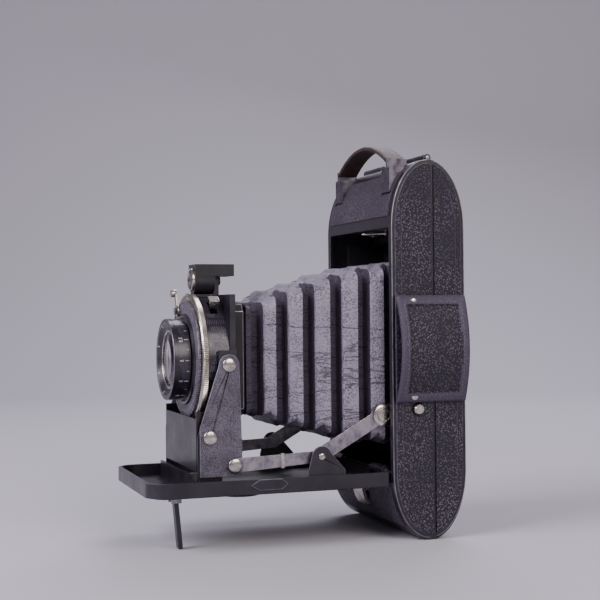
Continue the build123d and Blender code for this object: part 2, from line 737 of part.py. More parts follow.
# ================= folding linkage =================
arm_half = 4.6
arm_low = hinge[1] + 0.8
arm_rear = link_pivot[0] + 3.6
with BuildPart() as arms:
    for sign in sides.values():
        with BuildSketch(Plane.YZ.offset(sign * arm_x)):
            top_y, top_z = standard_pivot
            arm_front = arm_pivot[0] - arm_half
            with BuildLine():
                Polyline((top_y - arm_half, top_z), (arm_front, arm_pivot[1] + 4),
                         (arm_front, arm_low), (arm_rear - 1.8, arm_low),
                         (arm_rear, arm_low + 2.7), (top_y + arm_half, top_z))
                ThreePointArc((top_y + arm_half, top_z), (top_y, top_z + arm_half),
                              (top_y - arm_half, top_z))
            make_face()
            with Locations(arm_pivot, standard_pivot):
                Circle(rivet_radius + fit, mode=Mode.SUBTRACT)
            with Locations(link_pivot):
                Circle(rivet_radius, mode=Mode.SUBTRACT)
        extrude(amount=sign * plate)
pieces["arms"] = arms

link_half = 3.1
link_climb = 2.2
with BuildPart() as links:
    for sign in sides.values():
        with BuildSketch(Plane.YZ.offset(sign * link_x)):
            start = Vector(*link_pivot)
            end = start + Vector(link_length, link_climb)
            up = Vector(0, link_half)
            with BuildLine():
                Polyline(start + up, end + up * 0.8)
                ThreePointArc(end + up * 0.8, end + Vector(0.8 * link_half, 0), end - up * 0.8)
                Polyline(end - up * 0.8, start - up)
                ThreePointArc(start - up, start - Vector(link_half, 0), start + up)
            make_face()
            with Locations(link_pivot):
                Circle(rivet_radius + fit, mode=Mode.SUBTRACT)
        extrude(amount=sign * thin_plate)
pieces["links"] = links

with BuildPart() as struts:
    for sign in sides.values():
        with BuildSketch(Plane(origin=(sign * strut_x, *strut_pivot), x_dir=(0, 1, 0),
                               z_dir=(1, 0, 0))):
            turn = math.radians(180 - strut_angle)
            along = Vector(math.cos(turn), math.sin(turn))
            across = Vector(-along.Y, along.X)
            tip = along * strut_length
            shoulder = along * 2
            tail = along * -8
            wide = across * strut_half
            tail_half = across * 1.9
            with BuildLine():
                Polyline(tip + wide, tip - wide, shoulder - wide, tail - tail_half,
                         tail + tail_half, shoulder + wide, close=True)
            make_face()
            Circle(rivet_radius + fit, mode=Mode.SUBTRACT)
        extrude(amount=sign * thin_plate)
pieces["struts"] = struts

with BuildPart() as standard_rivets:
    for sign in sides.values():
        head_low = arm_x + plate + seat
        rivet(sign, standard_pivot, flange_x, head_low)
pieces["standard_rivets"] = standard_rivets

with BuildPart() as link_rivets:
    for sign in sides.values():
        head_low = link_x + thin_plate + seat
        rivet(sign, link_pivot, arm_x, head_low)
pieces["link_rivets"] = link_rivets

# ================= front standard =================
wall_y = arm_pivot[0] - 5.5
panel_back = panel_y + panel_thickness
panel_high = lens_z + 29
panel_half = flange_x - 0.6
frame_low = hinge[1] + 3.2
cell_radius = 15.0
with BuildPart() as standard_frame:
    box(-panel_half, panel_half, wall_y, wall_y + plate, frame_low, lens_z - 25)
    for sign in sides.values():
        low, high = span(sign, panel_half - plate, panel_half)
        box(low, high, wall_y, panel_back, frame_low, lens_z - 22)
    box(-panel_half, panel_half, panel_y, panel_back, frame_low + 5.8, panel_high)
    box(-flange_x - plate, flange_x + plate, panel_y, panel_back, lens_z - 9, lens_z + 5)
    for sign in sides.values():
        low, high = span(sign, flange_x, flange_x + plate)
        box(low, high, standard_pivot[0] - 4.4, panel_back, lens_z - 8.5, lens_z + 4.5)
        rod_x(*span(sign, flange_x - 2, flange_x + 4), *standard_pivot, rivet_radius,
              mode=Mode.SUBTRACT)
    rod_y(panel_y - 1, panel_back + 1, 0, lens_z, cell_radius, mode=Mode.SUBTRACT)
pieces["standard_frame"] = standard_frame

with BuildPart() as bellows_frame:
    box(-bellows_front_half, bellows_front_half, panel_back, bellows_front_y,
        lens_z - bellows_front_rise, lens_z + bellows_front_rise)
    chamfer(edges().filter_by(Axis.Y), 3)
    chamfer(faces().sort_by(Axis.Y)[-1].edges(), 1.2)
    window_half = bellows_front_half - 4
    window_rise = bellows_front_rise - 3.5
    box(-window_half, window_half, panel_back - 1, bellows_front_y + 1,
        lens_z - window_rise, lens_z + window_rise, mode=Mode.SUBTRACT)
pieces["bellows_frame"] = bellows_frame


def fold_sections():
    """Y, half width, half height and centre height of every crease of the bellows."""
    sections = []
    reach = bellows_rear_y - bellows_front_y
    count = round(2 * reach / pleat_pitch)
    for i in range(count + 1):
        y = bellows_front_y + reach * i / count
        front = min(1, (y - bellows_front_y) / (front_y - bellows_front_y))
        back = max(0, (y - front_y) / (bellows_rear_y - front_y))
        half = bellows_front_half + front * (bellows_mouth_half - bellows_front_half)
        rise = bellows_front_rise + front * (bellows_mouth_rise - bellows_front_rise)
        rise += back * (bellows_rear_rise - bellows_mouth_rise)
        centre = lens_z + (gate_z - lens_z) * (i / count)
        tuck = pleat_depth if i % 2 == 0 and 0 < i < count else 0
        sections.append((y, half - tuck, rise - tuck, centre))
    return sections


def pleated(shrink):
    """Ruled loft through the creases, drawn in by a wall thickness."""
    creases = []
    for y, half, rise, centre in fold_sections():
        with BuildSketch(Plane.XZ.offset(-y)) as crease:
            with Locations((0, centre)):
                Rectangle(2 * (half - shrink), 2 * (rise - shrink))
        creases.append(crease.sketch)
    loft(creases, ruled=True, mode=Mode.SUBTRACT if shrink else Mode.ADD)


with BuildPart() as bellows:
    pleated(0)
    pleated(bellows_wall)
pieces["bellows"] = bellows

# ================= shutter and lens =================
barrel_radius = 13.0
lever_places = {"shutter_release": 55, "aperture_lever": -62}
lever_y = drum_front_y + 4.8
with BuildPart() as shutter_case:
    rod_y(drum_front_y, panel_y, 0, lens_z, shutter_radius)
    rod_y(drum_front_y + 1.2, panel_y - 1.2, 0, lens_z, shutter_radius - 1.5, mode=Mode.SUBTRACT)
    rod_y(drum_front_y - 1, panel_y + 1, 0, lens_z, barrel_radius, mode=Mode.SUBTRACT)
    rod_y(drum_front_y - ring_length - 0.1, drum_front_y, 0, lens_z, face_radius - 0.3)
    rod_y(drum_front_y - ring_length - 1, drum_front_y + 2, 0, lens_z, barrel_radius,
          mode=Mode.SUBTRACT)
    for angle in lever_places.values():
        with Locations(Location((0, lever_y, lens_z), (0, -angle, 0))):
            with Locations((shutter_radius, 0, 0)):
                Box(5, 3.4, 9.4, mode=Mode.SUBTRACT)
pieces["shutter_case"] = shutter_case

with BuildPart() as speed_ring:
    rod_y(drum_front_y - ring_length, drum_front_y - seat, 0, lens_z, ring_radius)
    rod_y(drum_front_y - ring_length - 1, drum_front_y + 1, 0, lens_z, face_radius - 0.3 + fit,
          mode=Mode.SUBTRACT)
pieces["speed_ring"] = speed_ring

face_y = drum_front_y - ring_length - 0.1
post = (-9.5, lens_z + face_radius - 4.7)
post_radius = 1.0
point_z = lens_z - ring_radius - 1.7
with BuildPart() as scale_plate:
    with BuildSketch(Plane.XZ.offset(-face_y)):
        with Locations((0, lens_z)):
            Circle(face_radius)
        with BuildLine():
            Polyline((-16, point_z + 11.5), (0, point_z), (16, point_z + 11.5), close=True)
        make_face()
        with Locations((0, lens_z)):
            Circle(barrel_radius, mode=Mode.SUBTRACT)
    extrude(amount=0.9)
    rod_y(face_y - 2.6, face_y - 0.5, *post, post_radius)
    rod_y(face_y - 3.2, face_y - 2.4, *post, 1.7 * post_radius)
pieces["scale_plate"] = scale_plate

cone_depth = 3.0
lip = 0.8
glass_radius = 12.2
tube_front_y = lens_front_y + cone_depth + lip + gap
tube_bore = barrel_radius - 2
blades_y = drum_front_y + 4
iris_y = drum_front_y + 6
with BuildPart() as lens_tube:
    rod_y(tube_front_y, panel_y + 0.5, 0, lens_z, barrel_radius)
    rod_y(tube_front_y - 1, panel_y + 1, 0, lens_z, tube_bore, mode=Mode.SUBTRACT)
pieces["lens_tube"] = lens_tube

with BuildPart() as focus_ring:
    rod_y(lens_front_y, lens_front_y + focus_length, 0, lens_z, focus_radius)
    rod_y(tube_front_y - gap, lens_front_y + focus_length + 1, 0, lens_z, barrel_radius + fit,
          mode=Mode.SUBTRACT)
    rod_y(lens_front_y + 1, tube_front_y, 0, lens_z, glass_radius, mode=Mode.SUBTRACT)
    with BuildSketch(Plane.XZ.offset(-lens_front_y)) as mouth:
        with Locations((0, lens_z)):
            Circle(focus_radius - 1.6)
    with BuildSketch(Plane.XZ.offset(-lens_front_y - cone_depth)) as throat:
        with Locations((0, lens_z)):
            Circle(glass_radius + 1.3)
    loft([mouth.sketch, throat.sketch], mode=Mode.SUBTRACT)
pieces["focus_ring"] = focus_ring

with BuildPart() as lens_ring:
    ring_y = lens_front_y + cone_depth
    rod_y(ring_y - 1.3, ring_y, 0, lens_z, glass_radius + 1.2)
    rod_y(ring_y - 2, ring_y + 1, 0, lens_z, glass_radius, mode=Mode.SUBTRACT)
pieces["lens_ring"] = lens_ring

dome_rise = 2.0
dome_radius = (glass_radius**2 + dome_rise**2) / (2 * dome_rise)
dome_rear = ring_y - 0.6
with BuildPart() as glass_dome:
    with Locations((0, dome_rear - dome_rise + dome_radius, lens_z)):
        Sphere(dome_radius)
    box(-dome_radius, dome_radius, dome_rear, dome_rear + 2 * dome_radius,
        lens_z - dome_radius, lens_z + dome_radius, mode=Mode.SUBTRACT)

with BuildPart() as front_lens:
    rod_y(dome_rear, tube_front_y - gap, 0, lens_z, glass_radius)
    add(glass_dome.part)
pieces["front_lens"] = front_lens

rear_glass = 10.0
with BuildPart() as rear_lens_cell:
    rod_y(panel_y + 0.5, panel_back + 0.8, 0, lens_z, cell_radius)
    rod_y(panel_back, panel_back + 3.5, 0, lens_z, cell_radius - 2)
    rod_y(panel_y, panel_back + 4, 0, lens_z, rear_glass, mode=Mode.SUBTRACT)
pieces["rear_lens_cell"] = rear_lens_cell

with BuildPart() as rear_lens:
    rod_y(panel_back, panel_back + 2.6, 0, lens_z, rear_glass)
pieces["rear_lens"] = rear_lens

blade_count = 5
with BuildPart() as shutter_blades:
    for i in range(blade_count):
        y = blades_y + 0.3 * (i % 2)
        with BuildSketch(Plane(origin=(0, y, lens_z), x_dir=(1, 0, 0), z_dir=(0, -1, 0))):
            with BuildLine():
                first = CenterArc((0, 0), tube_bore, i * 360 / blade_count + 0.6,
                                  360 / blade_count - 1.2)
                Line(first @ 0, (0, 0))
                Line(first @ 1, (0, 0))
            make_face()
            Circle(0.5, mode=Mode.SUBTRACT)
        extrude(amount=0.25)
pieces["shutter_blades"] = shutter_blades

with BuildPart() as iris:
    rod_y(iris_y, iris_y + 0.5, 0, lens_z, tube_bore)
    with BuildSketch(Plane.XZ.offset(-iris_y + 1)):
        with Locations((0, lens_z)):
            RegularPolygon(6.5, 10)
    extrude(amount=-2, mode=Mode.SUBTRACT)
pieces["iris"] = iris

for name, angle in lever_places.items():
    with BuildPart() as lever:
        with Locations(Location((0, lever_y, lens_z), (0, -angle, 0))):
            with Locations((shutter_radius - 0.1, 0, 0)):
                Box(9.2, 2.6, 3.0)
            with Locations((shutter_radius + 3.9, 0, 0)):
                Box(1.6, 4.6, 4.2)
    pieces[name] = lever

# Corners of the lever's blade and its knob, from the post.
blade = ((-1.6, 0), (-4.6, 8.4), (-2.2, 9.2), (1.6, 0))
knob = (-3.2, 8.2)
with BuildPart() as cocking_lever:
    rod_y(face_y - 2.2, face_y - 1.0, *post, 2.6)
    with BuildSketch(Plane.XZ.offset(-face_y + 2.2)):
        with BuildLine():
            Polyline(*[(post[0] + x, post[1] + z) for x, z in blade], close=True)
        make_face()
    extrude(amount=-1.0)
    rod_y(face_y - 4.0, face_y - 1.6, post[0] + knob[0], post[1] + knob[1], 1.8)
    rod_y(face_y - 3, face_y, *post, post_radius + fit, mode=Mode.SUBTRACT)
pieces["cocking_lever"] = cocking_lever

# ================= brilliant finder =================
finder_z = panel_high + 6.6
finder_half = 6.2
finder_front = panel_y - 9.5
hood_rear = panel_y + 8.5
hood_half = finder_half + 0.3
hood_skirt = 4.2
hood_sheet = 0.8
hood_top = 1.2
finder_glass = 4.2
finder_glass_z = finder_z + 0.6
finder_rear = panel_y - gap
finder_pin = 1.2
with BuildPart() as finder_body:
    with BuildSketch(Plane.XZ.offset(-finder_rear)):
        with Locations((0, finder_z)):
            Circle(finder_half)
            with Locations((0, finder_half / 2)):
                Rectangle(2 * finder_half, finder_half)
    extrude(amount=finder_rear - finder_front)
    finder_top = finder_z + finder_half
    box(-hood_half, hood_half, finder_front, hood_rear, finder_top - hood_skirt,
        finder_top + hood_top)
    box(-hood_half + hood_sheet, hood_half - hood_sheet, finder_rear, hood_rear - hood_sheet,
        finder_top - hood_skirt - 1, finder_top, mode=Mode.SUBTRACT)
    box(-5, 5, finder_front + 1, finder_rear - 1.4, finder_z - 3.4, finder_top,
        mode=Mode.SUBTRACT)
    box(-4.4, 4.4, finder_front + 1.4, finder_rear - 1.8, finder_top - 1, finder_top + 2,
        mode=Mode.SUBTRACT)
    rod_y(finder_front - 1, finder_front + 2, 0, finder_glass_z, finder_glass,
          mode=Mode.SUBTRACT)
    rod_y(finder_rear - 2, finder_rear + 1, 0, finder_z, finder_pin + fit, mode=Mode.SUBTRACT)
pieces["finder_body"] = finder_body

with BuildPart() as finder_lenses:
    rod_y(finder_front - 0.6, finder_front + 1.0, 0, finder_glass_z, finder_glass)
    box(-5, 5, finder_front + 1, finder_rear - 1.4, finder_z + finder_half - 1.2,
        finder_z + finder_half)
pieces["finder_lenses"] = finder_lenses

with BuildPart() as finder_mirror:
    with BuildSketch(Plane.YZ.offset(-4.8)):
        with BuildLine():
            Polyline((finder_front + 1.2, finder_z - 3.4), (finder_rear - 1.6, finder_z + 3.4),
                     (finder_rear - 1.6, finder_z + 2.4), (finder_front + 2.2, finder_z - 3.4),
                     close=True)
        make_face()
    extrude(amount=9.6)
    rod_y(finder_rear - 5, finder_rear + 1, 0, finder_z, 2.2, mode=Mode.SUBTRACT)
pieces["finder_mirror"] = finder_mirror

# The hood's skirts pass either side of the bracket when the finder is turned.
bracket_half = finder_half - hood_skirt - 0.2
with BuildPart() as finder_bracket:
    rod_y(finder_rear - 1.3, panel_back, 0, finder_z, finder_pin)
    box(-bracket_half, bracket_half, panel_y, panel_back, panel_high, finder_z + 4)
    rod_y(panel_back, panel_back + 0.8, 0, finder_z, 2.0)
pieces["finder_bracket"] = finder_bracket

# ================= write =================
os.makedirs("parts", exist_ok=True)
for name, piece in pieces.items():
    piece.part.label = name
    export_step(piece.part, f"parts/{name}.step")
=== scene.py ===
"""Folding roll-film camera, opened on its lower end: finishes, trim and studio."""

import logging
import math
from abc import ABC, abstractmethod
from dataclasses import dataclass
from enum import Enum
from typing import Callable, Iterable, Optional, Sequence

import bpy
from mathutils import Matrix, Vector


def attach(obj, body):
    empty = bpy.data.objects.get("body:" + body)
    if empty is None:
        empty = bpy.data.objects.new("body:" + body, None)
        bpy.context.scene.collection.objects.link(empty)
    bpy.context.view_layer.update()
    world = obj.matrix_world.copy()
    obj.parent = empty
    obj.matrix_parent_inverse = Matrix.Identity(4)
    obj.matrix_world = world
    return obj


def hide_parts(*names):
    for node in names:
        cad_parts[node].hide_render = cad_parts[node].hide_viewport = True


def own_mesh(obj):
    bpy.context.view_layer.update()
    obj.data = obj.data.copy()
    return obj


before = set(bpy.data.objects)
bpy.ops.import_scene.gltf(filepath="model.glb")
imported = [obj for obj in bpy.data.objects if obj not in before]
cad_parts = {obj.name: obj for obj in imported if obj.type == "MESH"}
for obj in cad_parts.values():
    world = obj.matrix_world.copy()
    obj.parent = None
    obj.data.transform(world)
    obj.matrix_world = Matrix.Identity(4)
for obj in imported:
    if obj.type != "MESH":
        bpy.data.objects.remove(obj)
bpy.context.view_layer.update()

LOG = logging.getLogger("folding_camera")
MM = 0.001
# Height of the lens axis and of the finder's axis, in millimetres.
LENS_Z = 82.0
FINDER_Z = 118.2
# Faces of a block whose corners run low to high in its last direction first.
BOX_FACES = [[0, 1, 3, 2], [4, 6, 7, 5], [0, 4, 5, 1], [2, 3, 7, 6], [1, 5, 7, 3], [0, 2, 6, 4]]

Point = tuple[float, float, float]
Flat = tuple[float, float]
Solid = tuple[list[Point], list[list[int]]]
Tree = bpy.types.NodeTree
Node = bpy.types.Node
Socket = bpy.types.NodeSocket


class Side(Enum):
    """The two flanks of the camera, by the sign of X."""

    LEFT = 1
    RIGHT = -1


class Axis(Enum):
    """What a turned piece is turned about."""

    ACROSS = "x"
    DEEP = "y"


# ---------------------------------------------------------------- colour and nodes


def linear(hex_colour: str) -> tuple[float, float, float, float]:
    """Turn an sRGB hex value into a linear colour.

    Args:
        hex_colour: six hex digits after a #.

    Returns:
        Linear red, green, blue and an opaque alpha.
    """
    parts = (int(hex_colour[i : i + 2], 16) / 255 for i in (1, 3, 5))
    curve = (c / 12.92 if c <= 0.04045 else ((c + 0.055) / 1.055) ** 2.4 for c in parts)
    red, green, blue = curve
    return red, green, blue, 1.0


def add_node(tree: Tree, kind: str, inputs: Optional[dict[int | str, object]] = None,
             **settings: object) -> Node:
    """Add one shader node.

    Args:
        tree: node tree of the material.
        kind: Blender's name for the node.
        inputs: socket name or number to a value or to another node's socket.
        **settings: the node's own properties.

    Returns:
        The new node.
    """
    node = tree.nodes.new(kind)
    for key, value in settings.items():
        setattr(node, key, value)
    for key, value in (inputs or {}).items():
        if isinstance(value, bpy.types.NodeSocket):
            tree.links.new(value, node.inputs[key])
        else:
            node.inputs[key].default_value = value
    return node


def per_mm(size: float) -> float:
    """Scale of a pattern whose cell is that many millimetres, on coordinates in metres."""
    return 1 / (size * MM)


def two_stops(node: Node, low: str, high: str, start: float, end: float) -> None:
    """Set a colour ramp to two colours.

    Args:
        node: the ramp.
        low: hex colour at start.
        high: hex colour at end.
        start: place of the first stop.
        end: place of the last stop.
    """
    first, last = node.color_ramp.elements
    first.position, first.color = start, linear(low)
    last.position, last.color = end, linear(high)


# ---------------------------------------------------------------- finishes


@dataclass(frozen=True)
class Finish(ABC):
    """One real material with the way its surface was made."""

    name: str
    colour: str
    roughness: float = 0.5
    metallic: float = 0.0

    @abstractmethod
    def paint(self, tree: Tree, shader: Node, place: Socket) -> None:
        """Add this finish's own nodes.

        Args:
            tree: node tree of the material.
            shader: the Principled shader.
            place: socket with object coordinates in metres.
        """

    def material(self) -> bpy.types.Material:
        """Make the material once, and give the same one after that.

        Returns:
            The Blender material.
        """
        found = bpy.data.materials.get(self.name)
        if found:
            return found
        made = bpy.data.materials.new(self.name)
        made.use_nodes = True
        tree = made.node_tree
        shader = next(n for n in tree.nodes if n.type == "BSDF_PRINCIPLED")
        shader.inputs["Base Color"].default_value = linear(self.colour)
        shader.inputs["Roughness"].default_value = self.roughness
        shader.inputs["Metallic"].default_value = self.metallic
        made.diffuse_color = linear(self.colour)
        place = add_node(tree, "ShaderNodeTexCoord").outputs["Object"]
        self.paint(tree, shader, place)
        return made


@dataclass(frozen=True)
class StovedEnamel(Finish):
    """Black enamel stoved on pressed steel: deep gloss with a soft orange peel."""

    worn: str = "#2f2736"
    peel_mm: float = 1.4
    cloud_mm: float = 14.0
    scratch_mm: float = 0.35

    def paint(self, tree: Tree, shader: Node, place: Socket) -> None:
        """Cloud the gloss, add orange peel and hair scratches.

        Args:
            tree: node tree of the material.
            shader: the Principled shader.
            place: socket with object coordinates in metres.
        """
        cloud = add_node(tree, "ShaderNodeTexNoise", {"Vector": place, "Scale": per_mm(self.cloud_mm),
                                                      "Detail": 5.0, "Roughness": 0.65})
        tint = add_node(tree, "ShaderNodeValToRGB", {"Fac": cloud.outputs["Fac"]})
        two_stops(tint, self.colour, self.worn, 0.42, 0.86)
        tree.links.new(tint.outputs["Color"], shader.inputs["Base Color"])
        gloss = add_node(tree, "ShaderNodeMapRange", {"Value": cloud.outputs["Fac"], "From Min": 0.3,
                                                      "From Max": 0.75, "To Min": self.roughness,
                                                      "To Max": self.roughness + 0.2})
        tree.links.new(gloss.outputs["Result"], shader.inputs["Roughness"])
        peel = add_node(tree, "ShaderNodeTexNoise", {"Vector": place, "Scale": per_mm(self.peel_mm),
                                                     "Detail": 2.0})
        first = add_node(tree, "ShaderNodeBump", {"Height": peel.outputs["Fac"],
            "Distance": 0.03 * MM, "Strength": 1.0})
        stretch = add_node(tree, "ShaderNodeMapping", {"Vector": place, "Scale": (1.0, 0.08, 0.12),
                                                       "Rotation": (0.3, 0.1, 0.0)})
        hair = add_node(tree, "ShaderNodeTexNoise", {"Vector": stretch.outputs["Vector"],
                                                     "Scale": per_mm(self.scratch_mm), "Detail": 3.0})
        bump = add_node(tree, "ShaderNodeBump", {"Height": hair.outputs["Fac"],
            "Distance": 0.02 * MM, "Strength": 1.0, "Normal": first.outputs["Normal"]})
        tree.links.new(bump.outputs["Normal"], shader.inputs["Normal"])
        shader.inputs["Coat Weight"].default_value = 0.2
        shader.inputs["Coat Roughness"].default_value = 0.2


@dataclass(frozen=True)
class PebbledLeather(Finish):
    """Embossed leathercloth glued to the case: pebbles with painted shade in their valleys, and tops
    painted paler, partly rubbing and partly a painted highlight.
    """

    # Pale colour of the pebble tops: rubbing and a painted highlight.
    top: str = "#6d6473"
    pebble_mm: float = 0.95
    relief_mm: float = 0.22
    patch_mm: float = 22.0

    def paint(self, tree: Tree, shader: Node, place: Socket) -> None:
        """Lay pebbles, paint shade into their valleys and paint their tops paler, as rubbing and a
        painted highlight.

        Args:
            tree: node tree of the material.
            shader: the Principled shader.
            place: socket with object coordinates in metres.
        """
        wander = add_node(tree, "ShaderNodeTexNoise", {"Vector": place, "Scale": per_mm(2.2),
                                                       "Detail": 1.0})
        shift = add_node(tree, "ShaderNodeVectorMath", {0: wander.outputs["Color"], 1: (0.0006,) * 3},
                         operation="MULTIPLY")
        moved = add_node(tree, "ShaderNodeVectorMath", {0: place, 1: shift.outputs[0]}, operation="ADD")
        cells = add_node(tree, "ShaderNodeTexVoronoi", {"Vector": moved.outputs[0],
                                                        "Scale": per_mm(self.pebble_mm),
                                                        "Smoothness": 0.35}, feature="SMOOTH_F1")
        patch = add_node(tree, "ShaderNodeTexNoise", {"Vector": place, "Scale": per_mm(self.patch_mm),
                                                      "Detail": 4.0})
        height = add_node(tree, "ShaderNodeMapRange", {"Value": cells.outputs["Distance"],
                                                       "From Min": 0.1, "From Max": 0.62,
                                                       "To Min": 1.0, "To Max": 0.0})
        # Painted shade and highlight: valleys take the dark colour, pebble tops the pale one, in random
        # patches like rubbing.
        valley_shade_top_highlight_and_wear = add_node(tree, "ShaderNodeMath", {0: height.outputs["Result"], 1: patch.outputs["Fac"]},
                       operation="MULTIPLY")
        tint = add_node(tree, "ShaderNodeValToRGB", {"Fac": valley_shade_top_highlight_and_wear.outputs["Value"]})
        two_stops(tint, self.colour, self.top, 0.18, 0.66)
        tree.links.new(tint.outputs["Color"], shader.inputs["Base Color"])
        gloss = add_node(tree, "ShaderNodeMapRange", {"Value": height.outputs["Result"], "From Min": 0.0,
                                                      "From Max": 1.0, "To Min": 0.75,
                                                      "To Max": self.roughness})
        tree.links.new(gloss.outputs["Result"], shader.inputs["Roughness"])
        pores = add_node(tree, "ShaderNodeTexNoise", {"Vector": place, "Scale": per_mm(0.3),
                                                      "Detail": 2.0})
        first = add_node(tree, "ShaderNodeBump", {"Height": height.outputs["Result"],
            "Distance": self.relief_mm * MM, "Strength": 1.0})
        bump = add_node(tree, "ShaderNodeBump", {"Height": pores.outputs["Fac"],
            "Distance": 0.04 * MM, "Strength": 1.0, "Normal": first.outputs["Normal"]})
        tree.links.new(bump.outputs["Normal"], shader.inputs["Normal"])


@dataclass(frozen=True)
class FoldedLeathercloth(Finish):
    """Thin leathercloth of the folding chamber: fine grain, rubbed pale, with cross creases darkened as
    painted shade.
    """

    rubbed: str = "#8f8799"
    grain_mm: float = 0.9
    crease_mm: float = 9.0

    def paint(self, tree: Tree, shader: Node, place: Socket) -> None:
        """Lay fine grain with creases that run along the camera's depth, darkened as painted shade.

        Args:
            tree: node tree of the material.
            shader: the Principled shader.
            place: socket with object coordinates in metres.
        """
        cells = add_node(tree, "ShaderNodeTexVoronoi", {"Vector": place, "Scale": per_mm(self.grain_mm)})
        patch = add_node(tree, "ShaderNodeTexNoise", {"Vector": place, "Scale": per_mm(9.0),
                                                      "Detail": 4.0})
        worn = add_node(tree, "ShaderNodeMath", {0: patch.outputs["Fac"], 1: 0.75,
                                                 2: cells.outputs["Distance"]}, operation="MULTIPLY_ADD")
        tint = add_node(tree, "ShaderNodeValToRGB", {"Fac": worn.outputs["Value"]})
        two_stops(tint, self.colour, self.rubbed, 0.3, 0.95)
        long = add_node(tree, "ShaderNodeMapping", {"Vector": place, "Scale": (1.0, 0.1, 1.0)})
        fold = add_node(tree, "ShaderNodeTexNoise", {"Vector": long.outputs["Vector"],
                                                     "Scale": per_mm(self.crease_mm), "Detail": 3.0,
                                                     "Distortion": 0.4})
        away = add_node(tree, "ShaderNodeMath", {0: fold.outputs["Fac"], 1: 0.5}, operation="SUBTRACT")
        gap = add_node(tree, "ShaderNodeMath", {0: away.outputs["Value"]}, operation="ABSOLUTE")
        # Painted shade: the colour falls to 0.35 of itself along each crease line.
        line = add_node(tree, "ShaderNodeMapRange", {"Value": gap.outputs["Value"], "From Min": 0.0,
                                                     "From Max": 0.02, "To Min": 0.35, "To Max": 1.0})
        shade = add_node(tree, "ShaderNodeVectorMath", {0: tint.outputs["Color"],
                                                        "Scale": line.outputs["Result"]},
                         operation="SCALE")
        tree.links.new(shade.outputs["Vector"], shader.inputs["Base Color"])
        first = add_node(tree, "ShaderNodeBump", {"Height": line.outputs["Result"],
            "Distance": 0.3 * MM, "Strength": 1.0})
        bump = add_node(tree, "ShaderNodeBump", {"Height": cells.outputs["Distance"],
            "Distance": 0.22 * MM, "Strength": 1.0, "Normal": first.outputs["Normal"]})
        tree.links.new(bump.outputs["Normal"], shader.inputs["Normal"])
        shader.inputs["Sheen Weight"].default_value = 0.1
        shader.inputs["Sheen Roughness"].default_value = 0.4


@dataclass(frozen=True)
class PlatedNickel(Finish):
    """Nickel plated brass, buffed: warm pale metal with hair scratches and dull patches."""

    dull: str = "#8f8889"
    patch_mm: float = 4.0
    scratch: Point = (0.2, 1.0, 0.2)

    def paint(self, tree: Tree, shader: Node, place: Socket) -> None:
        """Tarnish in patches and scratch finely.

        Args:
            tree: node tree of the material.
            shader: the Principled shader.
            place: socket with object coordinates in metres.
        """
        patch = add_node(tree, "ShaderNodeTexNoise", {"Vector": place, "Scale": per_mm(self.patch_mm),
                                                      "Detail": 5.0, "Roughness": 0.6})
        tint = add_node(tree, "ShaderNodeValToRGB", {"Fac": patch.outputs["Fac"]})
        two_stops(tint, self.dull, self.colour, 0.3, 0.62)
        tree.links.new(tint.outputs["Color"], shader.inputs["Base Color"])
        gloss = add_node(tree, "ShaderNodeMapRange", {"Value": patch.outputs["Fac"], "From Min": 0.3,
                                                      "From Max": 0.7, "To Min": self.roughness + 0.16,
                                                      "To Max": self.roughness})
        tree.links.new(gloss.outputs["Result"], shader.inputs["Roughness"])
        # Real buffing lines are about 0.02 mm apart; drawn at 0.25 mm so that they show.
        stretch = add_node(tree, "ShaderNodeMapping", {"Vector": place, "Scale": self.scratch})
        lines = add_node(tree, "ShaderNodeTexNoise", {"Vector": stretch.outputs["Vector"],
                                                      "Scale": per_mm(0.25), "Detail": 2.0})
        bump = add_node(tree, "ShaderNodeBump", {"Height": lines.outputs["Fac"],
            "Distance": 0.012 * MM, "Strength": 1.0})
        tree.links.new(bump.outputs["Normal"], shader.inputs["Normal"])


@dataclass(frozen=True)
class CrackleLacquer(Finish):
    """Crackle lacquer baked on steel: grey-black with a fleck of lighter grains."""

    fleck: str = "#7b7385"
    fleck_mm: float = 0.42

    def paint(self, tree: Tree, shader: Node, place: Socket) -> None:
        """Scatter raised flecks over a dark ground.

        Args:
            tree: node tree of the material.
            shader: the Principled shader.
            place: socket with object coordinates in metres.
        """
        grain = add_node(tree, "ShaderNodeTexNoise", {"Vector": place, "Scale": per_mm(self.fleck_mm),
                                                      "Detail": 3.0, "Roughness": 0.7})
        patch = add_node(tree, "ShaderNodeTexNoise", {"Vector": place, "Scale": per_mm(6.0),
                                                      "Detail": 3.0})
        both = add_node(tree, "ShaderNodeMath", {0: grain.outputs["Fac"], 1: 0.78},
                        operation="MULTIPLY")
        mixed = add_node(tree, "ShaderNodeMath", {0: patch.outputs["Fac"], 1: 0.22,
                                                  2: both.outputs["Value"]}, operation="MULTIPLY_ADD")
        tint = add_node(tree, "ShaderNodeValToRGB", {"Fac": mixed.outputs["Value"]})
        two_stops(tint, self.colour, self.fleck, 0.4, 0.66)
        tree.links.new(tint.outputs["Color"], shader.inputs["Base Color"])
        bump = add_node(tree, "ShaderNodeBump", {"Height": grain.outputs["Fac"],
            "Distance": 0.12 * MM, "Strength": 1.0})
        tree.links.new(bump.outputs["Normal"], shader.inputs["Normal"])


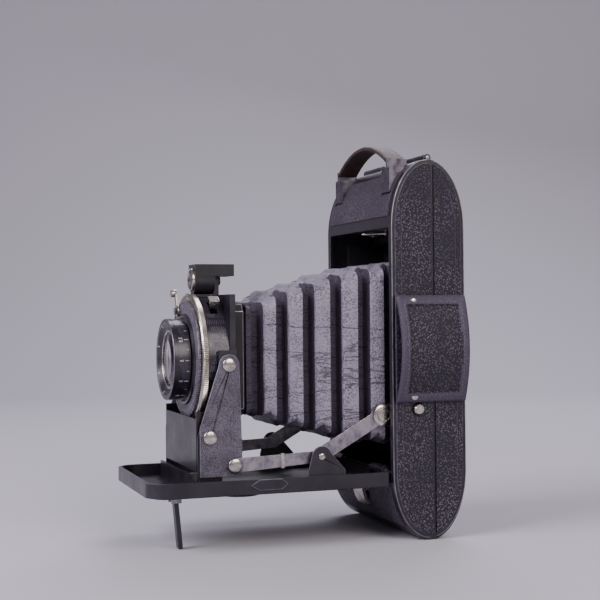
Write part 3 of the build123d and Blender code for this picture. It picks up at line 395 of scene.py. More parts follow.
@dataclass(frozen=True)
class BlackenedBrass(Finish):
    """Brass turned and chemically blackened: satin black with faint tool marks."""

    rubbed: str = "#5c5263"

    def paint(self, tree: Tree, shader: Node, place: Socket) -> None:
        """Add tool marks about the lens axis and rubbed patches.

        Args:
            tree: node tree of the material.
            shader: the Principled shader.
            place: socket with object coordinates in metres.
        """
        marks = add_node(tree, "ShaderNodeMapping", {"Vector": place, "Scale": (0.1, 1.0, 0.1)})
        lines = add_node(tree, "ShaderNodeTexNoise", {"Vector": marks.outputs["Vector"],
                                                      "Scale": per_mm(0.3), "Detail": 2.0})
        patch = add_node(tree, "ShaderNodeTexNoise", {"Vector": place, "Scale": per_mm(5.0),
                                                      "Detail": 6.0, "Roughness": 0.7})
        tint = add_node(tree, "ShaderNodeValToRGB", {"Fac": patch.outputs["Fac"]})
        two_stops(tint, self.colour, self.rubbed, 0.5, 0.9)
        tree.links.new(tint.outputs["Color"], shader.inputs["Base Color"])
        bump = add_node(tree, "ShaderNodeBump", {"Height": lines.outputs["Fac"],
            "Distance": 0.015 * MM, "Strength": 1.0})
        tree.links.new(bump.outputs["Normal"], shader.inputs["Normal"])
        shader.inputs["Coat Weight"].default_value = 0.25
        shader.inputs["Coat Roughness"].default_value = 0.25


@dataclass(frozen=True)
class EngineTurned(Finish):
    """Etched brass dial plate, blackened: a fine sunburst about the lens, its rays painted paler as a
    glint.
    """

    glint: str = "#8a8391"
    rays: float = 150.0

    def paint(self, tree: Tree, shader: Node, place: Socket) -> None:
        """Draw rays about the lens axis, broken by rings.

        Args:
            tree: node tree of the material.
            shader: the Principled shader.
            place: socket with object coordinates in metres.
        """
        split = add_node(tree, "ShaderNodeSeparateXYZ", {0: place})
        rise = add_node(tree, "ShaderNodeMath", {0: split.outputs["Z"], 1: LENS_Z * MM},
                        operation="SUBTRACT")
        turn = add_node(tree, "ShaderNodeMath", {0: rise.outputs[0], 1: split.outputs["X"]},
                        operation="ARCTAN2")
        wave = add_node(tree, "ShaderNodeMath", {0: turn.outputs[0], 1: self.rays}, operation="MULTIPLY")
        ray = add_node(tree, "ShaderNodeMath", {0: wave.outputs[0]}, operation="SINE")
        grain = add_node(tree, "ShaderNodeTexVoronoi", {"Vector": place, "Scale": per_mm(0.8)})
        both = add_node(tree, "ShaderNodeMath", {0: ray.outputs[0], 1: 0.3,
                                                 2: grain.outputs["Distance"]}, operation="MULTIPLY_ADD")
        # Painted glint: rays round the lens take the pale colour whatever the lamps do.
        tint = add_node(tree, "ShaderNodeValToRGB", {"Fac": both.outputs[0]})
        two_stops(tint, self.colour, self.glint, 0.25, 0.85)
        tree.links.new(tint.outputs["Color"], shader.inputs["Base Color"])
        bump = add_node(tree, "ShaderNodeBump", {"Height": both.outputs[0],
            "Distance": 0.12 * MM, "Strength": 1.0})
        tree.links.new(bump.outputs["Normal"], shader.inputs["Normal"])


@dataclass(frozen=True)
class WaxedHide(Finish):
    """Vegetable tanned hide, waxed and handled: brown with dark creases; its burnished edges are not
    drawn.
    """

    lit: str = "#4f3630"
    crease_mm: float = 3.2

    def paint(self, tree: Tree, shader: Node, place: Socket) -> None:
        """Crease and mottle the hide.

        Args:
            tree: node tree of the material.
            shader: the Principled shader.
            place: socket with object coordinates in metres.
        """
        crease = add_node(tree, "ShaderNodeTexNoise", {"Vector": place, "Scale": per_mm(self.crease_mm),
                                                       "Detail": 8.0, "Roughness": 0.7,
                                                       "Distortion": 0.8})
        tint = add_node(tree, "ShaderNodeValToRGB", {"Fac": crease.outputs["Fac"]})
        two_stops(tint, self.colour, self.lit, 0.35, 0.72)
        tree.links.new(tint.outputs["Color"], shader.inputs["Base Color"])
        pores = add_node(tree, "ShaderNodeTexVoronoi", {"Vector": place, "Scale": per_mm(0.7)})
        first = add_node(tree, "ShaderNodeBump", {"Height": crease.outputs["Fac"],
            "Distance": 0.3 * MM, "Strength": 1.0})
        bump = add_node(tree, "ShaderNodeBump", {"Height": pores.outputs["Distance"],
            "Distance": 0.06 * MM, "Strength": 1.0, "Normal": first.outputs["Normal"]})
        tree.links.new(bump.outputs["Normal"], shader.inputs["Normal"])


@dataclass(frozen=True)
class GroundGlass(Finish):
    """Polished optical glass, clear or dyed in the melt: sharp reflections, faint dust."""

    index: float = 1.52

    def paint(self, tree: Tree, shader: Node, place: Socket) -> None:
        """Let light through and lay a little dust on the polish.

        Args:
            tree: node tree of the material.
            shader: the Principled shader.
            place: socket with object coordinates in metres.
        """
        shader.inputs["Transmission Weight"].default_value = 1.0
        shader.inputs["IOR"].default_value = self.index
        dust = add_node(tree, "ShaderNodeTexNoise", {"Vector": place, "Scale": per_mm(1.1),
                                                     "Detail": 6.0})
        film = add_node(tree, "ShaderNodeMapRange", {"Value": dust.outputs["Fac"], "From Min": 0.5,
                                                     "From Max": 0.8, "To Min": self.roughness,
                                                     "To Max": self.roughness + 0.08})
        tree.links.new(film.outputs["Result"], shader.inputs["Roughness"])


@dataclass(frozen=True)
class InkFill(Finish):
    """Enamel rubbed into engraving or thread drawn through leather: matt, a little soiled."""

    soiled: str = "#8d8791"

    def paint(self, tree: Tree, shader: Node, place: Socket) -> None:
        """Soil the fill in small patches.

        Args:
            tree: node tree of the material.
            shader: the Principled shader.
            place: socket with object coordinates in metres.
        """
        soil = add_node(tree, "ShaderNodeTexNoise", {"Vector": place, "Scale": per_mm(1.5),
                                                     "Detail": 4.0})
        tint = add_node(tree, "ShaderNodeValToRGB", {"Fac": soil.outputs["Fac"]})
        two_stops(tint, self.soiled, self.colour, 0.3, 0.6)
        tree.links.new(tint.outputs["Color"], shader.inputs["Base Color"])


@dataclass(frozen=True)
class SeamlessPaper(Finish):
    """Pale background paper off the roll: matt with a faint tooth."""

    def paint(self, tree: Tree, shader: Node, place: Socket) -> None:
        """Give the sheet its tooth.

        Args:
            tree: node tree of the material.
            shader: the Principled shader.
            place: socket with object coordinates in metres.
        """
        tooth = add_node(tree, "ShaderNodeTexNoise", {"Vector": place, "Scale": per_mm(1.0),
                                                      "Detail": 4.0})
        bump = add_node(tree, "ShaderNodeBump", {"Height": tooth.outputs["Fac"],
            "Distance": 0.05 * MM, "Strength": 0.4})
        tree.links.new(bump.outputs["Normal"], shader.inputs["Normal"])


class Finishes:
    """Every finish of the camera, by the maker's name for it."""

    # Deep black with soft glints on pressed edges.
    enamel = StovedEnamel("stoved_black_enamel", "#130e18", 0.3)
    # Soot black that keeps light out of the chamber.
    inner = StovedEnamel("flat_black_lining", "#0f0b13", 0.6, worn="#1f1a24")
    # Dark pebbles with painted shade in the valleys; their tops paler from rubbing and a painted
    # highlight.
    leather = PebbledLeather("pebbled_leathercloth", "#1f1826", 0.4, top="#756b7d")
    # Smooth paler margin round the hand strap.
    binding = PebbledLeather("smooth_binding_leather", "#3f3748", 0.42, top="#6f6579",
                             pebble_mm=0.5, relief_mm=0.04)
    # Finer, flatter grain that lights up evenly.
    fine_leather = PebbledLeather("fine_grained_leathercloth", "#332b39", 0.4, top="#776e7c",
                                  pebble_mm=0.6, relief_mm=0.12)
    # Flecked panels with thin cross creases darkened as painted shade.
    chamber = FoldedLeathercloth("folded_leathercloth", "#2d2537", 0.45)
    # Near-black copy of the cloth for the insides of the folds: painted shade.
    fold = FoldedLeathercloth("inner_folds_of_leathercloth", "#17111d", 0.65, rubbed="#382e42")
    # Warm bright highlights on rivets and rings.
    nickel = PlatedNickel("buffed_nickel_plate", "#d9d2c8", 0.16, 1.0)
    # Grey edges where the enamel is rubbed through.
    satin = PlatedNickel("satin_nickel_plate", "#a7a1a8", 0.36, 1.0, dull="#6f6977")
    # Dull glints of milling round the drum.
    cut = PlatedNickel("milled_dark_nickel", "#777080", 0.42, 1.0, dull="#3d3746")
    # Handled lugs, brown-grey and dull.
    dark_nickel = PlatedNickel("worn_nickel_plate", "#77717c", 0.42, 1.0, dull="#453f4c")
    # Cool straight streaks on springs and pins.
    steel = PlatedNickel("drawn_spring_steel", "#9a96a0", 0.3, 1.0, dull="#67636d")
    # Pale dull spool flanges.
    aluminium = PlatedNickel("spun_aluminium", "#c4c2c6", 0.4, 1.0, dull="#98969c")
    # A clean mirror.
    silvered = PlatedNickel("silvered_glass", "#e6e6ea", 0.03, 1.0, dull="#d0d0d6")
    # Dark grainy arms with light grains.
    crackle = CrackleLacquer("baked_crackle_lacquer", "#211a28", 0.5)
    # Satin black with fine turning lines.
    black_brass = BlackenedBrass("blackened_turned_brass", "#1a141f", 0.32)
    # A grey sunburst, painted on the rays as a glint.
    dial = EngineTurned("etched_dial_plate", "#1d1722", 0.42)
    # Dark brown, creased and waxy.
    hide = WaxedHide("waxed_brown_hide", "#1d1315", 0.6)
    # Clear and sharp, with a trace of dust.
    glass = GroundGlass("polished_optical_glass", "#f2eef6", 0.01)
    # Deep red where light shows through.
    ruby = GroundGlass("ruby_glass", "#a3141b", 0.03)
    # Off-white numerals.
    ink = InkFill("white_engraving_fill", "#d8d4dc", 0.6)
    # Muted stitches.
    thread = InkFill("waxed_linen_thread", "#6a616f", 0.7, soiled="#4a4250")
    # An even pale ground.
    paper = SeamlessPaper("seamless_paper", "#bdbac2", 0.9)


# ---------------------------------------------------------------- mesh building


def new_piece(name: str, solid: Solid, finish: Finish, body: str,
              crease: float = 35.0) -> bpy.types.Object:
    """Make a piece in millimetres and let it ride on a body.

    Args:
        name: name of the piece.
        solid: vertices in millimetres, and faces.
        finish: its finish.
        body: the CAD body that it moves with.
        crease: edges sharper than this many degrees stay sharp.

    Returns:
        The new object.
    """
    vertices, faces = solid
    mesh = bpy.data.meshes.new(name)
    mesh.from_pydata([tuple(c * MM for c in v) for v in vertices], [], faces)
    mesh.validate()
    mesh.update()
    mesh.shade_smooth()
    mesh.set_sharp_from_angle(angle=math.radians(crease))
    mesh.materials.append(finish.material())
    made = bpy.data.objects.new(name, mesh)
    bpy.context.scene.collection.objects.link(made)
    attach(made, body)
    LOG.info("%s: %d faces on %s", name, len(faces), body)
    return made


def join(solids: Iterable[Solid]) -> Solid:
    """Put several solids in one.

    Args:
        solids: the solids, each vertices and faces.

    Returns:
        Their vertices and faces together.
    """
    vertices: list[Point] = []
    faces: list[list[int]] = []
    for more_vertices, more_faces in solids:
        start = len(vertices)
        vertices += more_vertices
        faces += [[start + i for i in face] for face in more_faces]
    return vertices, faces


def turned(profile: Sequence[Flat], axis: Axis, centre: Flat, steps: int = 48,
           trim: Callable[[int, int, float], float] = lambda step, corner, radius: radius) -> Solid:
    """Turn a closed profile about an axis.

    Args:
        profile: radius and place along the axis, in order, closing on itself.
        axis: what it is turned about.
        centre: Y and Z of an axis across, X and Z of one that runs deep.
        steps: flats round the turn.
        trim: radius of a corner at a step, for knurls and facets.

    Returns:
        Vertices and faces.
    """
    vertices: list[Point] = []
    for step in range(steps):
        angle = 2 * math.pi * step / steps
        for corner, (radius, along) in enumerate(profile):
            reach = trim(step, corner, radius)
            one = centre[0] + reach * math.cos(angle)
            two = centre[1] + reach * math.sin(angle)
            vertices.append((along, one, two) if axis is Axis.ACROSS else (one, along, two))
    count = len(profile)
    faces = []
    for step in range(steps):
        following = (step + 1) % steps
        for corner in range(count):
            near = (corner + 1) % count
            face = [step * count + corner, step * count + near,
                    following * count + near, following * count + corner]
            faces.append(face)
    return vertices, faces


def dome(centre: Flat, low: float, rise: float, radius: float, side: Side, bore: float = 0.0) -> Solid:
    """A domed rivet head across the camera, with a small flat edge.

    Args:
        centre: Y and Z.
        low: distance of its seat from the middle plane.
        rise: height of the dome.
        radius: radius of the head.
        side: the flank that it stands on.
        bore: radius left open in the middle.

    Returns:
        Vertices and faces.
    """
    edge = 0.25 * rise
    arc = [(max(bore, radius * math.cos(a)), low + edge + (rise - edge) * math.sin(a))
           for a in (math.pi / 2 * i / 9 for i in range(10))]
    profile = [(max(bore, 0.02), low), (radius, low)] + arc[:-1] + [(max(bore, 0.02), low + rise)]
    return turned([(r, side.value * x) for r, x in profile], Axis.ACROSS, centre, 40)


def bead(path: Sequence[Flat], half_width: float, low: float, rise: float, side: Side,
         closed: bool = True) -> Solid:
    """A thin raised line that follows a path on a flank.

    Args:
        path: Y and Z of its points.
        half_width: half its width.
        low: distance of its foot from the middle plane.
        rise: its height.
        side: the flank that it lies on.
        closed: whether the path closes.

    Returns:
        Vertices and faces.
    """
    vertices: list[Point] = []
    count = len(path)
    section = ((-1.0, 0.0), (-0.5, 1.0), (0.5, 1.0), (1.0, 0.0))
    for i, (y, z) in enumerate(path):
        before = path[i - 1] if closed or i else path[i]
        after = path[(i + 1) % count] if closed or i < count - 1 else path[i]
        along = Vector((after[0] - before[0], after[1] - before[1]))
        along.normalize()
        for across, up in section:
            vertices.append((side.value * (low + rise * up), y - along.y * half_width * across,
                             z + along.x * half_width * across))
    faces = []
    ring = len(section)
    for i in range(count if closed else count - 1):
        other = (i + 1) % count
        for k in range(ring):
            j = (k + 1) % ring
            faces.append([i * ring + k, i * ring + j, other * ring + j, other * ring + k])
    if not closed:
        faces += [list(range(ring)), [(count - 1) * ring + k for k in reversed(range(ring))]]
    return vertices, faces


def outline(half_depth: float, rise: float, low: float = 31.0, high: float = 141.0,
            steps: int = 36) -> list[Flat]:
    """Side outline of the case: straight sides closed by half ellipses.

    Args:
        half_depth: half its depth.
        rise: rise of each rounded end.
        low: where the lower rounded end starts.
        high: where the upper rounded end starts.
        steps: points in each end.

    Returns:
        Y and Z of its points, counter-clockwise.
    """
    ends = []
    for middle, start in ((high, 0.0), (low, math.pi)):
        for i in range(steps + 1):
            angle = start + math.pi * i / steps
            ends.append((half_depth * math.cos(angle), middle + rise * math.sin(angle)))
    return ends


def sewn(path: Callable[[float], Point], normal: Callable[[float], Point], count: int,
         length: float, width: float) -> Solid:
    """Stitches laid end to end along a path.

    Args:
        path: place at a share of the length, from 0 to 1.
        normal: direction in which the thread stands proud there.
        count: number of stitches.
        length: share of each pitch that the thread shows.
        width: thread width in millimetres.

    Returns:
        Vertices and faces.
    """
    stitches = []
    for i in range(count):
        first, last = i / count, (i + length) / count
        start, end = Vector(path(first)), Vector(path(last))
        out = Vector(normal((first + last) / 2))
        along = (end - start).normalized()
        across = along.cross(out).normalized() * width / 2
        vertices = []
        for share, bulge in ((0.0, 0.1), (0.25, 0.8), (0.75, 0.8), (1.0, 0.1)):
            spot = start.lerp(end, share)
            lift = out * width * 0.55 * bulge
            vertices += [tuple(spot - across), tuple(spot - across * 0.5 + lift),
                         tuple(spot + across * 0.5 + lift), tuple(spot + across)]
        faces = [[4 * r + k, 4 * r + (k + 1) % 4, 4 * r + 4 + (k + 1) % 4, 4 * r + 4 + k]
                 for r in range(3) for k in range(4)]
        faces += [[3, 2, 1, 0], [12, 13, 14, 15]]
        stitches.append((vertices, faces))
    return join(stitches)


def written(text: str, size: float) -> Solid:
    """Make the outline of generic numerals as a flat mesh, centred, in millimetres.

    Args:
        text: the numerals.
        size: their height in millimetres.

    Returns:
        Vertices and faces.
    """
    curve = bpy.data.curves.new("numeral", "FONT")
    curve.body, curve.size, curve.align_x = text, size, "CENTER"
    curve.extrude, curve.resolution_u = 0.06, 2
    holder = bpy.data.objects.new("numeral", curve)
    bpy.context.scene.collection.objects.link(holder)
    mesh = bpy.data.meshes.new_from_object(holder.evaluated_get(bpy.context.evaluated_depsgraph_get()))
    solid = ([tuple(v.co) for v in mesh.vertices], [list(p.vertices) for p in mesh.polygons])
    bpy.data.objects.remove(holder)
    bpy.data.curves.remove(curve)
    bpy.data.meshes.remove(mesh)
    return solid


def dress(node: str, finish: Finish, bevel_mm: float = 0.0, edge: Optional[Finish] = None) -> None:
    """Give a CAD node its finish, and soften its edges as tumbling or pressing leaves them.

    Args:
        node: name of the CAD node.
        finish: its finish.
        bevel_mm: width of the softened edges, or 0 for none.
        edge: the finish that shows where the edges are rubbed through.
    """
    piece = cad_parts[node]
    for holder in piece.material_slots:
        holder.material = finish.material()
    if bevel_mm:
        weld = piece.modifiers.new("joined", "WELD")
        weld.merge_threshold = 1e-6
        bevel = piece.modifiers.new("softened", "BEVEL")
        bevel.width, bevel.segments = bevel_mm * MM, 2
        bevel.limit_method, bevel.angle_limit = "ANGLE", math.radians(40)
        bevel.miter_outer = "MITER_ARC"
        bevel.face_strength_mode = "FSTR_ALL"
        if edge:
            piece.data.materials.append(edge.material())
            bevel.material = len(piece.data.materials) - 1
        weighted = piece.modifiers.new("shaded", "WEIGHTED_NORMAL")
        weighted.keep_sharp = False
        weighted.use_face_influence = True
    LOG.info("%s: %s", node, finish.name)


# ---------------------------------------------------------------- the case


@dataclass
class Case:
    """Pressed body and hinged back with their leathercloth and trim lines."""

    metal_half: float = 40.2
    metal_depth: float = 18.0
    leather_half: float = 41.0
    end_rise: float = 30.5
    line_half: float = 0.22
    line_inset: float = 0.25
    skin_outline: Flat = (16.15, 28.6)
    pressed_outline: Flat = (13.4, 24.6)

    def build(self) -> None:
        """Add the rubbed edge lines and the pressed lines in the leathercloth."""
        for side in Side:
            label = side.name.lower()
            edge = outline(self.metal_depth - self.line_inset, self.end_rise - self.line_inset)
            front = [p for p in edge if p[0] < 1.2]
            rear = [p for p in edge if p[0] > 2.8]
            rim = outline(*self.skin_outline)
            groove = outline(*self.pressed_outline)
            for body, name, part in (("body", "front", front), ("back", "rear", rear)):
                ordered = self.ordered(part, name == "front")
                new_piece(f"{name}_edge_line_{label}", bead(ordered, self.line_half,
                          self.metal_half - 0.05, 0.22, side, closed=False),
                          Finishes.satin, body)
                inner = [p for p in rim if (p[0] < 1.0 if name == "front" else p[0] > 3.0)]
                ordered = self.ordered(inner, name == "front")
                new_piece(f"{name}_skin_line_{label}", bead(ordered, 0.28, self.metal_half - 0.02, 0.5,
                          side, closed=False), Finishes.crackle, body)
                pressed = [p for p in groove if (p[0] < 0.4 if name == "front" else p[0] > 4.0)]
                ordered = self.ordered(pressed, name == "front")
                line = bead(ordered, 0.3, self.leather_half - 0.05, 0.2, side, closed=False)
                new_piece(f"{name}_pressed_line_{label}", line, Finishes.fine_leather, body)

    @staticmethod
    def ordered(points: Sequence[Flat], front: bool) -> list[Flat]:
        """Order the points of half an outline from the top end down.

        Args:
            points: Y and Z, in any order.
            front: whether they are the half towards the lens.

        Returns:
            The same points along the line.
        """
        return sorted(points, key=lambda p: (math.atan2(p[1] - 86.0, p[0] - 2.0) % (2 * math.pi))
                      if front else math.atan2(p[1] - 86.0, p[0] - 2.0))

    def dress(self) -> None:
        """Finish the case's CAD nodes."""
        for node in ("body_shell", "back_shell"):
            dress(node, Finishes.enamel, 0.22, Finishes.satin)
        for node in ("side_leathers", "back_leathers"):
            dress(node, Finishes.leather, 0.12)
        dress("front_leathers", Finishes.fine_leather)
        dress("film_gate", Finishes.inner, 0.15)
        dress("film_rollers", Finishes.steel)
        dress("spool_bearings", Finishes.steel, 0.15)
        dress("pressure_plate", Finishes.inner, 0.12, Finishes.satin)
        dress("pressure_springs", Finishes.steel)
        dress("supply_spool", Finishes.aluminium, 0.1)
        dress("take_up_spool", Finishes.aluminium, 0.1)
        dress("bed_hinge_pins", Finishes.steel)
        dress("back_hinge_pin", Finishes.steel, 0.2)
        dress("catch_spring", Finishes.nickel, 0.12)
        dress("strut_lugs", Finishes.enamel, 0.12, Finishes.satin)
        dress("latch_base", Finishes.nickel, 0.12)
        dress("back_latch", Finishes.nickel, 0.15)
        dress("strap_lugs", Finishes.dark_nickel, 0.2)
        dress("red_window", Finishes.ruby)
        dress("window_cover", Finishes.enamel, 0.15, Finishes.satin)
        dress("wind_key", Finishes.black_brass, 0.4, Finishes.satin)
        dress("bed_release_button", Finishes.nickel, 0.25)


@dataclass
class CarryHandle:
    """Arched hand strap on the left flank: two leather plies, bound, stitched and embossed."""

    middle_z: float = 86.0
    half: float = 24.0
    depth: float = 17.0
    skin: float = 41.3
    rise: float = 6.0
    thickness: float = 2.0
    columns: int = 72
    rows: int = 56
    border: float = 4.3
    edge_round: float = 0.9
    groove_start: float = 4.0
    groove_end: float = 4.6
    groove_depth: float = 0.75
    seam_margin: float = 3.0
    rivet_y: float = -9.0
    rivet_heights: Flat = (65.0, 107.0)

    def surface(self, z_share: float, y_share: float, lift: float = 0.0) -> Point:
        """A place on the arched outer face.

        Args:
            z_share: -1 at the lower end to 1 at the upper.
            y_share: -1 at the front to 1 at the back.
            lift: millimetres outwards.

        Returns:
            Its X, Y and Z.
        """
        arch = self.skin + self.thickness + self.rise * (1 - z_share * z_share)
        pull = 1 - 0.03 * (1 - z_share * z_share)
        return (arch + lift, self.depth * pull * y_share, self.middle_z + self.half * z_share)

    def lift_at(self, z_share: float, y_share: float) -> float:
        """Height of the binding, the groove and the padded panel, in millimetres.

        Args:
            z_share: -1 to 1 along the arch.
            y_share: -1 to 1 across it.

        Returns:
            Millimetres above the ply.
        """
        margin = min(self.half * (1 - abs(z_share)), self.depth * (1 - abs(y_share)))
        if margin < self.edge_round:
            share = 1 - margin / self.edge_round
            return -self.edge_round + self.edge_round * math.sqrt(max(0.0, 1 - share ** 2))
        if margin < self.groove_start:
            return 0.0
        if margin < self.groove_end:
            return -self.groove_depth * math.sin(math.pi / 2 * (margin - self.groove_start) / 0.6)
        swell = min(1.0, (margin - self.groove_end) / 3.0)
        return -self.groove_depth + 0.35 * math.sin(math.pi / 2 * swell)

    def build(self) -> None:
        """Build the plies, the stitches and the end rivets."""
        vertices: list[Point] = []
        for i in range(self.columns + 1):
            z_share = -1 + 2 * i / self.columns
            for j in range(self.rows + 1):
                y_share = -1 + 2 * j / self.rows
                vertices.append(self.surface(z_share, y_share, self.lift_at(z_share, y_share)))
        outer = len(vertices)
        for i in range(self.columns + 1):
            z_share = -1 + 2 * i / self.columns
            for j in range(self.rows + 1):
                y_share = -1 + 2 * j / self.rows
                x, y, z = self.surface(z_share, y_share, -self.thickness)
                vertices.append((max(x, self.skin), y, z))
        width = self.rows + 1
        faces = []
        for i in range(self.columns):
            for j in range(self.rows):
                a = i * width + j
                faces.append([a, a + 1, a + width + 1, a + width])
                faces.append([outer + a + width, outer + a + width + 1, outer + a + 1, outer + a])
        rim = [j for j in range(width)]
        rim += [i * width + self.rows for i in range(1, self.columns + 1)]
        rim += [self.columns * width + j for j in reversed(range(self.rows))]
        rim += [i * width for i in reversed(range(1, self.columns))]
        for k, a in enumerate(rim):
            b = rim[(k + 1) % len(rim)]
            faces.append([b, a, outer + a, outer + b])
        piece = new_piece("hand_strap", (vertices, faces), Finishes.leather, "body", 60)
        piece.data.materials.append(Finishes.binding.material())
        for face in piece.data.polygons:
            spot = face.center / MM
            margin = min(self.half - abs(spot.z - self.middle_z), self.depth - abs(spot.y))
            face.material_index = int(margin < self.border)
        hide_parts("carry_handle")
        self.stitch()
        heads = join(dome((self.rivet_y, z), 43.9, 0.9, 1.9, Side.LEFT) for z in self.rivet_heights)
        studs = join(turned([(1.5, 40.2), (1.5, 44.0), (0.02, 44.0), (0.02, 40.2)], Axis.ACROSS,
                            (self.rivet_y, z), 20) for z in self.rivet_heights)
        rivets = new_piece("hand_strap_rivets", join((heads, studs)), Finishes.nickel, "body")
        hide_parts("handle_rivets")

    def stitch(self) -> None:
        """Sew round the binding, a row near its inner edge."""
        reach_z, reach_y = 1 - self.seam_margin / self.half, 1 - self.seam_margin / self.depth
        corners = [(-reach_z, -reach_y), (reach_z, -reach_y), (reach_z, reach_y), (-reach_z, reach_y)]
        rows = []
        for k, first in enumerate(corners):
            last = corners[(k + 1) % 4]

            def along(share: float, a: Flat = first, b: Flat = last) -> Point:
                """Place at a share of this side."""
                return self.surface(a[0] + (b[0] - a[0]) * share, a[1] + (b[1] - a[1]) * share)

            span = (Vector(along(1.0)) - Vector(along(0.0))).length
            rows.append(sewn(along, lambda share: (1.0, 0.0, 0.0), round(span / 1.7), 0.6, 0.3))
        new_piece("hand_strap_stitches", join(rows), Finishes.thread, "body")


@dataclass
class TopStrap:
    """Arched brown strap between the lugs on the upper end."""

    half: float = 30.0
    low: float = 171.35
    rise: float = 9.0
    middle_y: float = -11.0
    width: float = 10.0
    thickness: float = 2.1

    def place(self, share: float) -> Vector:
        """Centre of the strap at a share from -1 to 1."""
        return Vector((self.half * share, self.middle_y, self.low + self.rise * (1 - share * share)))

    def build(self) -> None:
        """Sweep the strap's rounded section and sew both margins."""
        section = []
        for i in range(28):
            angle = 2 * math.pi * i / 28
            power = 0.35
            across = math.copysign(abs(math.cos(angle)) ** power, math.cos(angle))
            up = math.copysign(abs(math.sin(angle)) ** power, math.sin(angle))
            crown = 0.16 * (1 - across * across)
            section.append((across * self.width / 2, up * (self.thickness / 2 - 0.16) + crown * up))
        vertices: list[Point] = []
        steps = 56
        for i in range(steps + 1):
            share = -1 + 2 * i / steps
            centre = self.place(share)
            slope = Vector((self.half, 0, -2 * self.rise * share)).normalized()
            up_way = Vector((-slope.z, 0, slope.x))
            wrinkle = 1 + 0.05 * math.sin(share * 41) * abs(share) ** 3
            for across, up in section:
                spot = centre + Vector((0, across, 0)) + up_way * up * wrinkle
                vertices.append(tuple(spot))
        count = len(section)
        faces = [[i * count + k, i * count + (k + 1) % count, (i + 1) * count + (k + 1) % count,
                  (i + 1) * count + k] for i in range(steps) for k in range(count)]
        faces += [list(reversed(range(count))), [steps * count + k for k in range(count)]]
        strap = new_piece("top_strap_hide", (vertices, faces), Finishes.hide, "body",
                          50)
        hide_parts("top_strap")
        rows = []
        for across in (-3.7, 3.7):

            def along(share: float, y: float = across) -> Point:
                """Place on this margin."""
                spot = self.place(-0.94 + 1.88 * share)
                return (spot.x, spot.y + y, spot.z + self.thickness / 2 - 0.06)

            rows.append(sewn(along, lambda share: (0.0, 0.0, 1.0), 34, 0.66, 0.42))
        new_piece("top_strap_stitches", join(rows), Finishes.thread, "body")


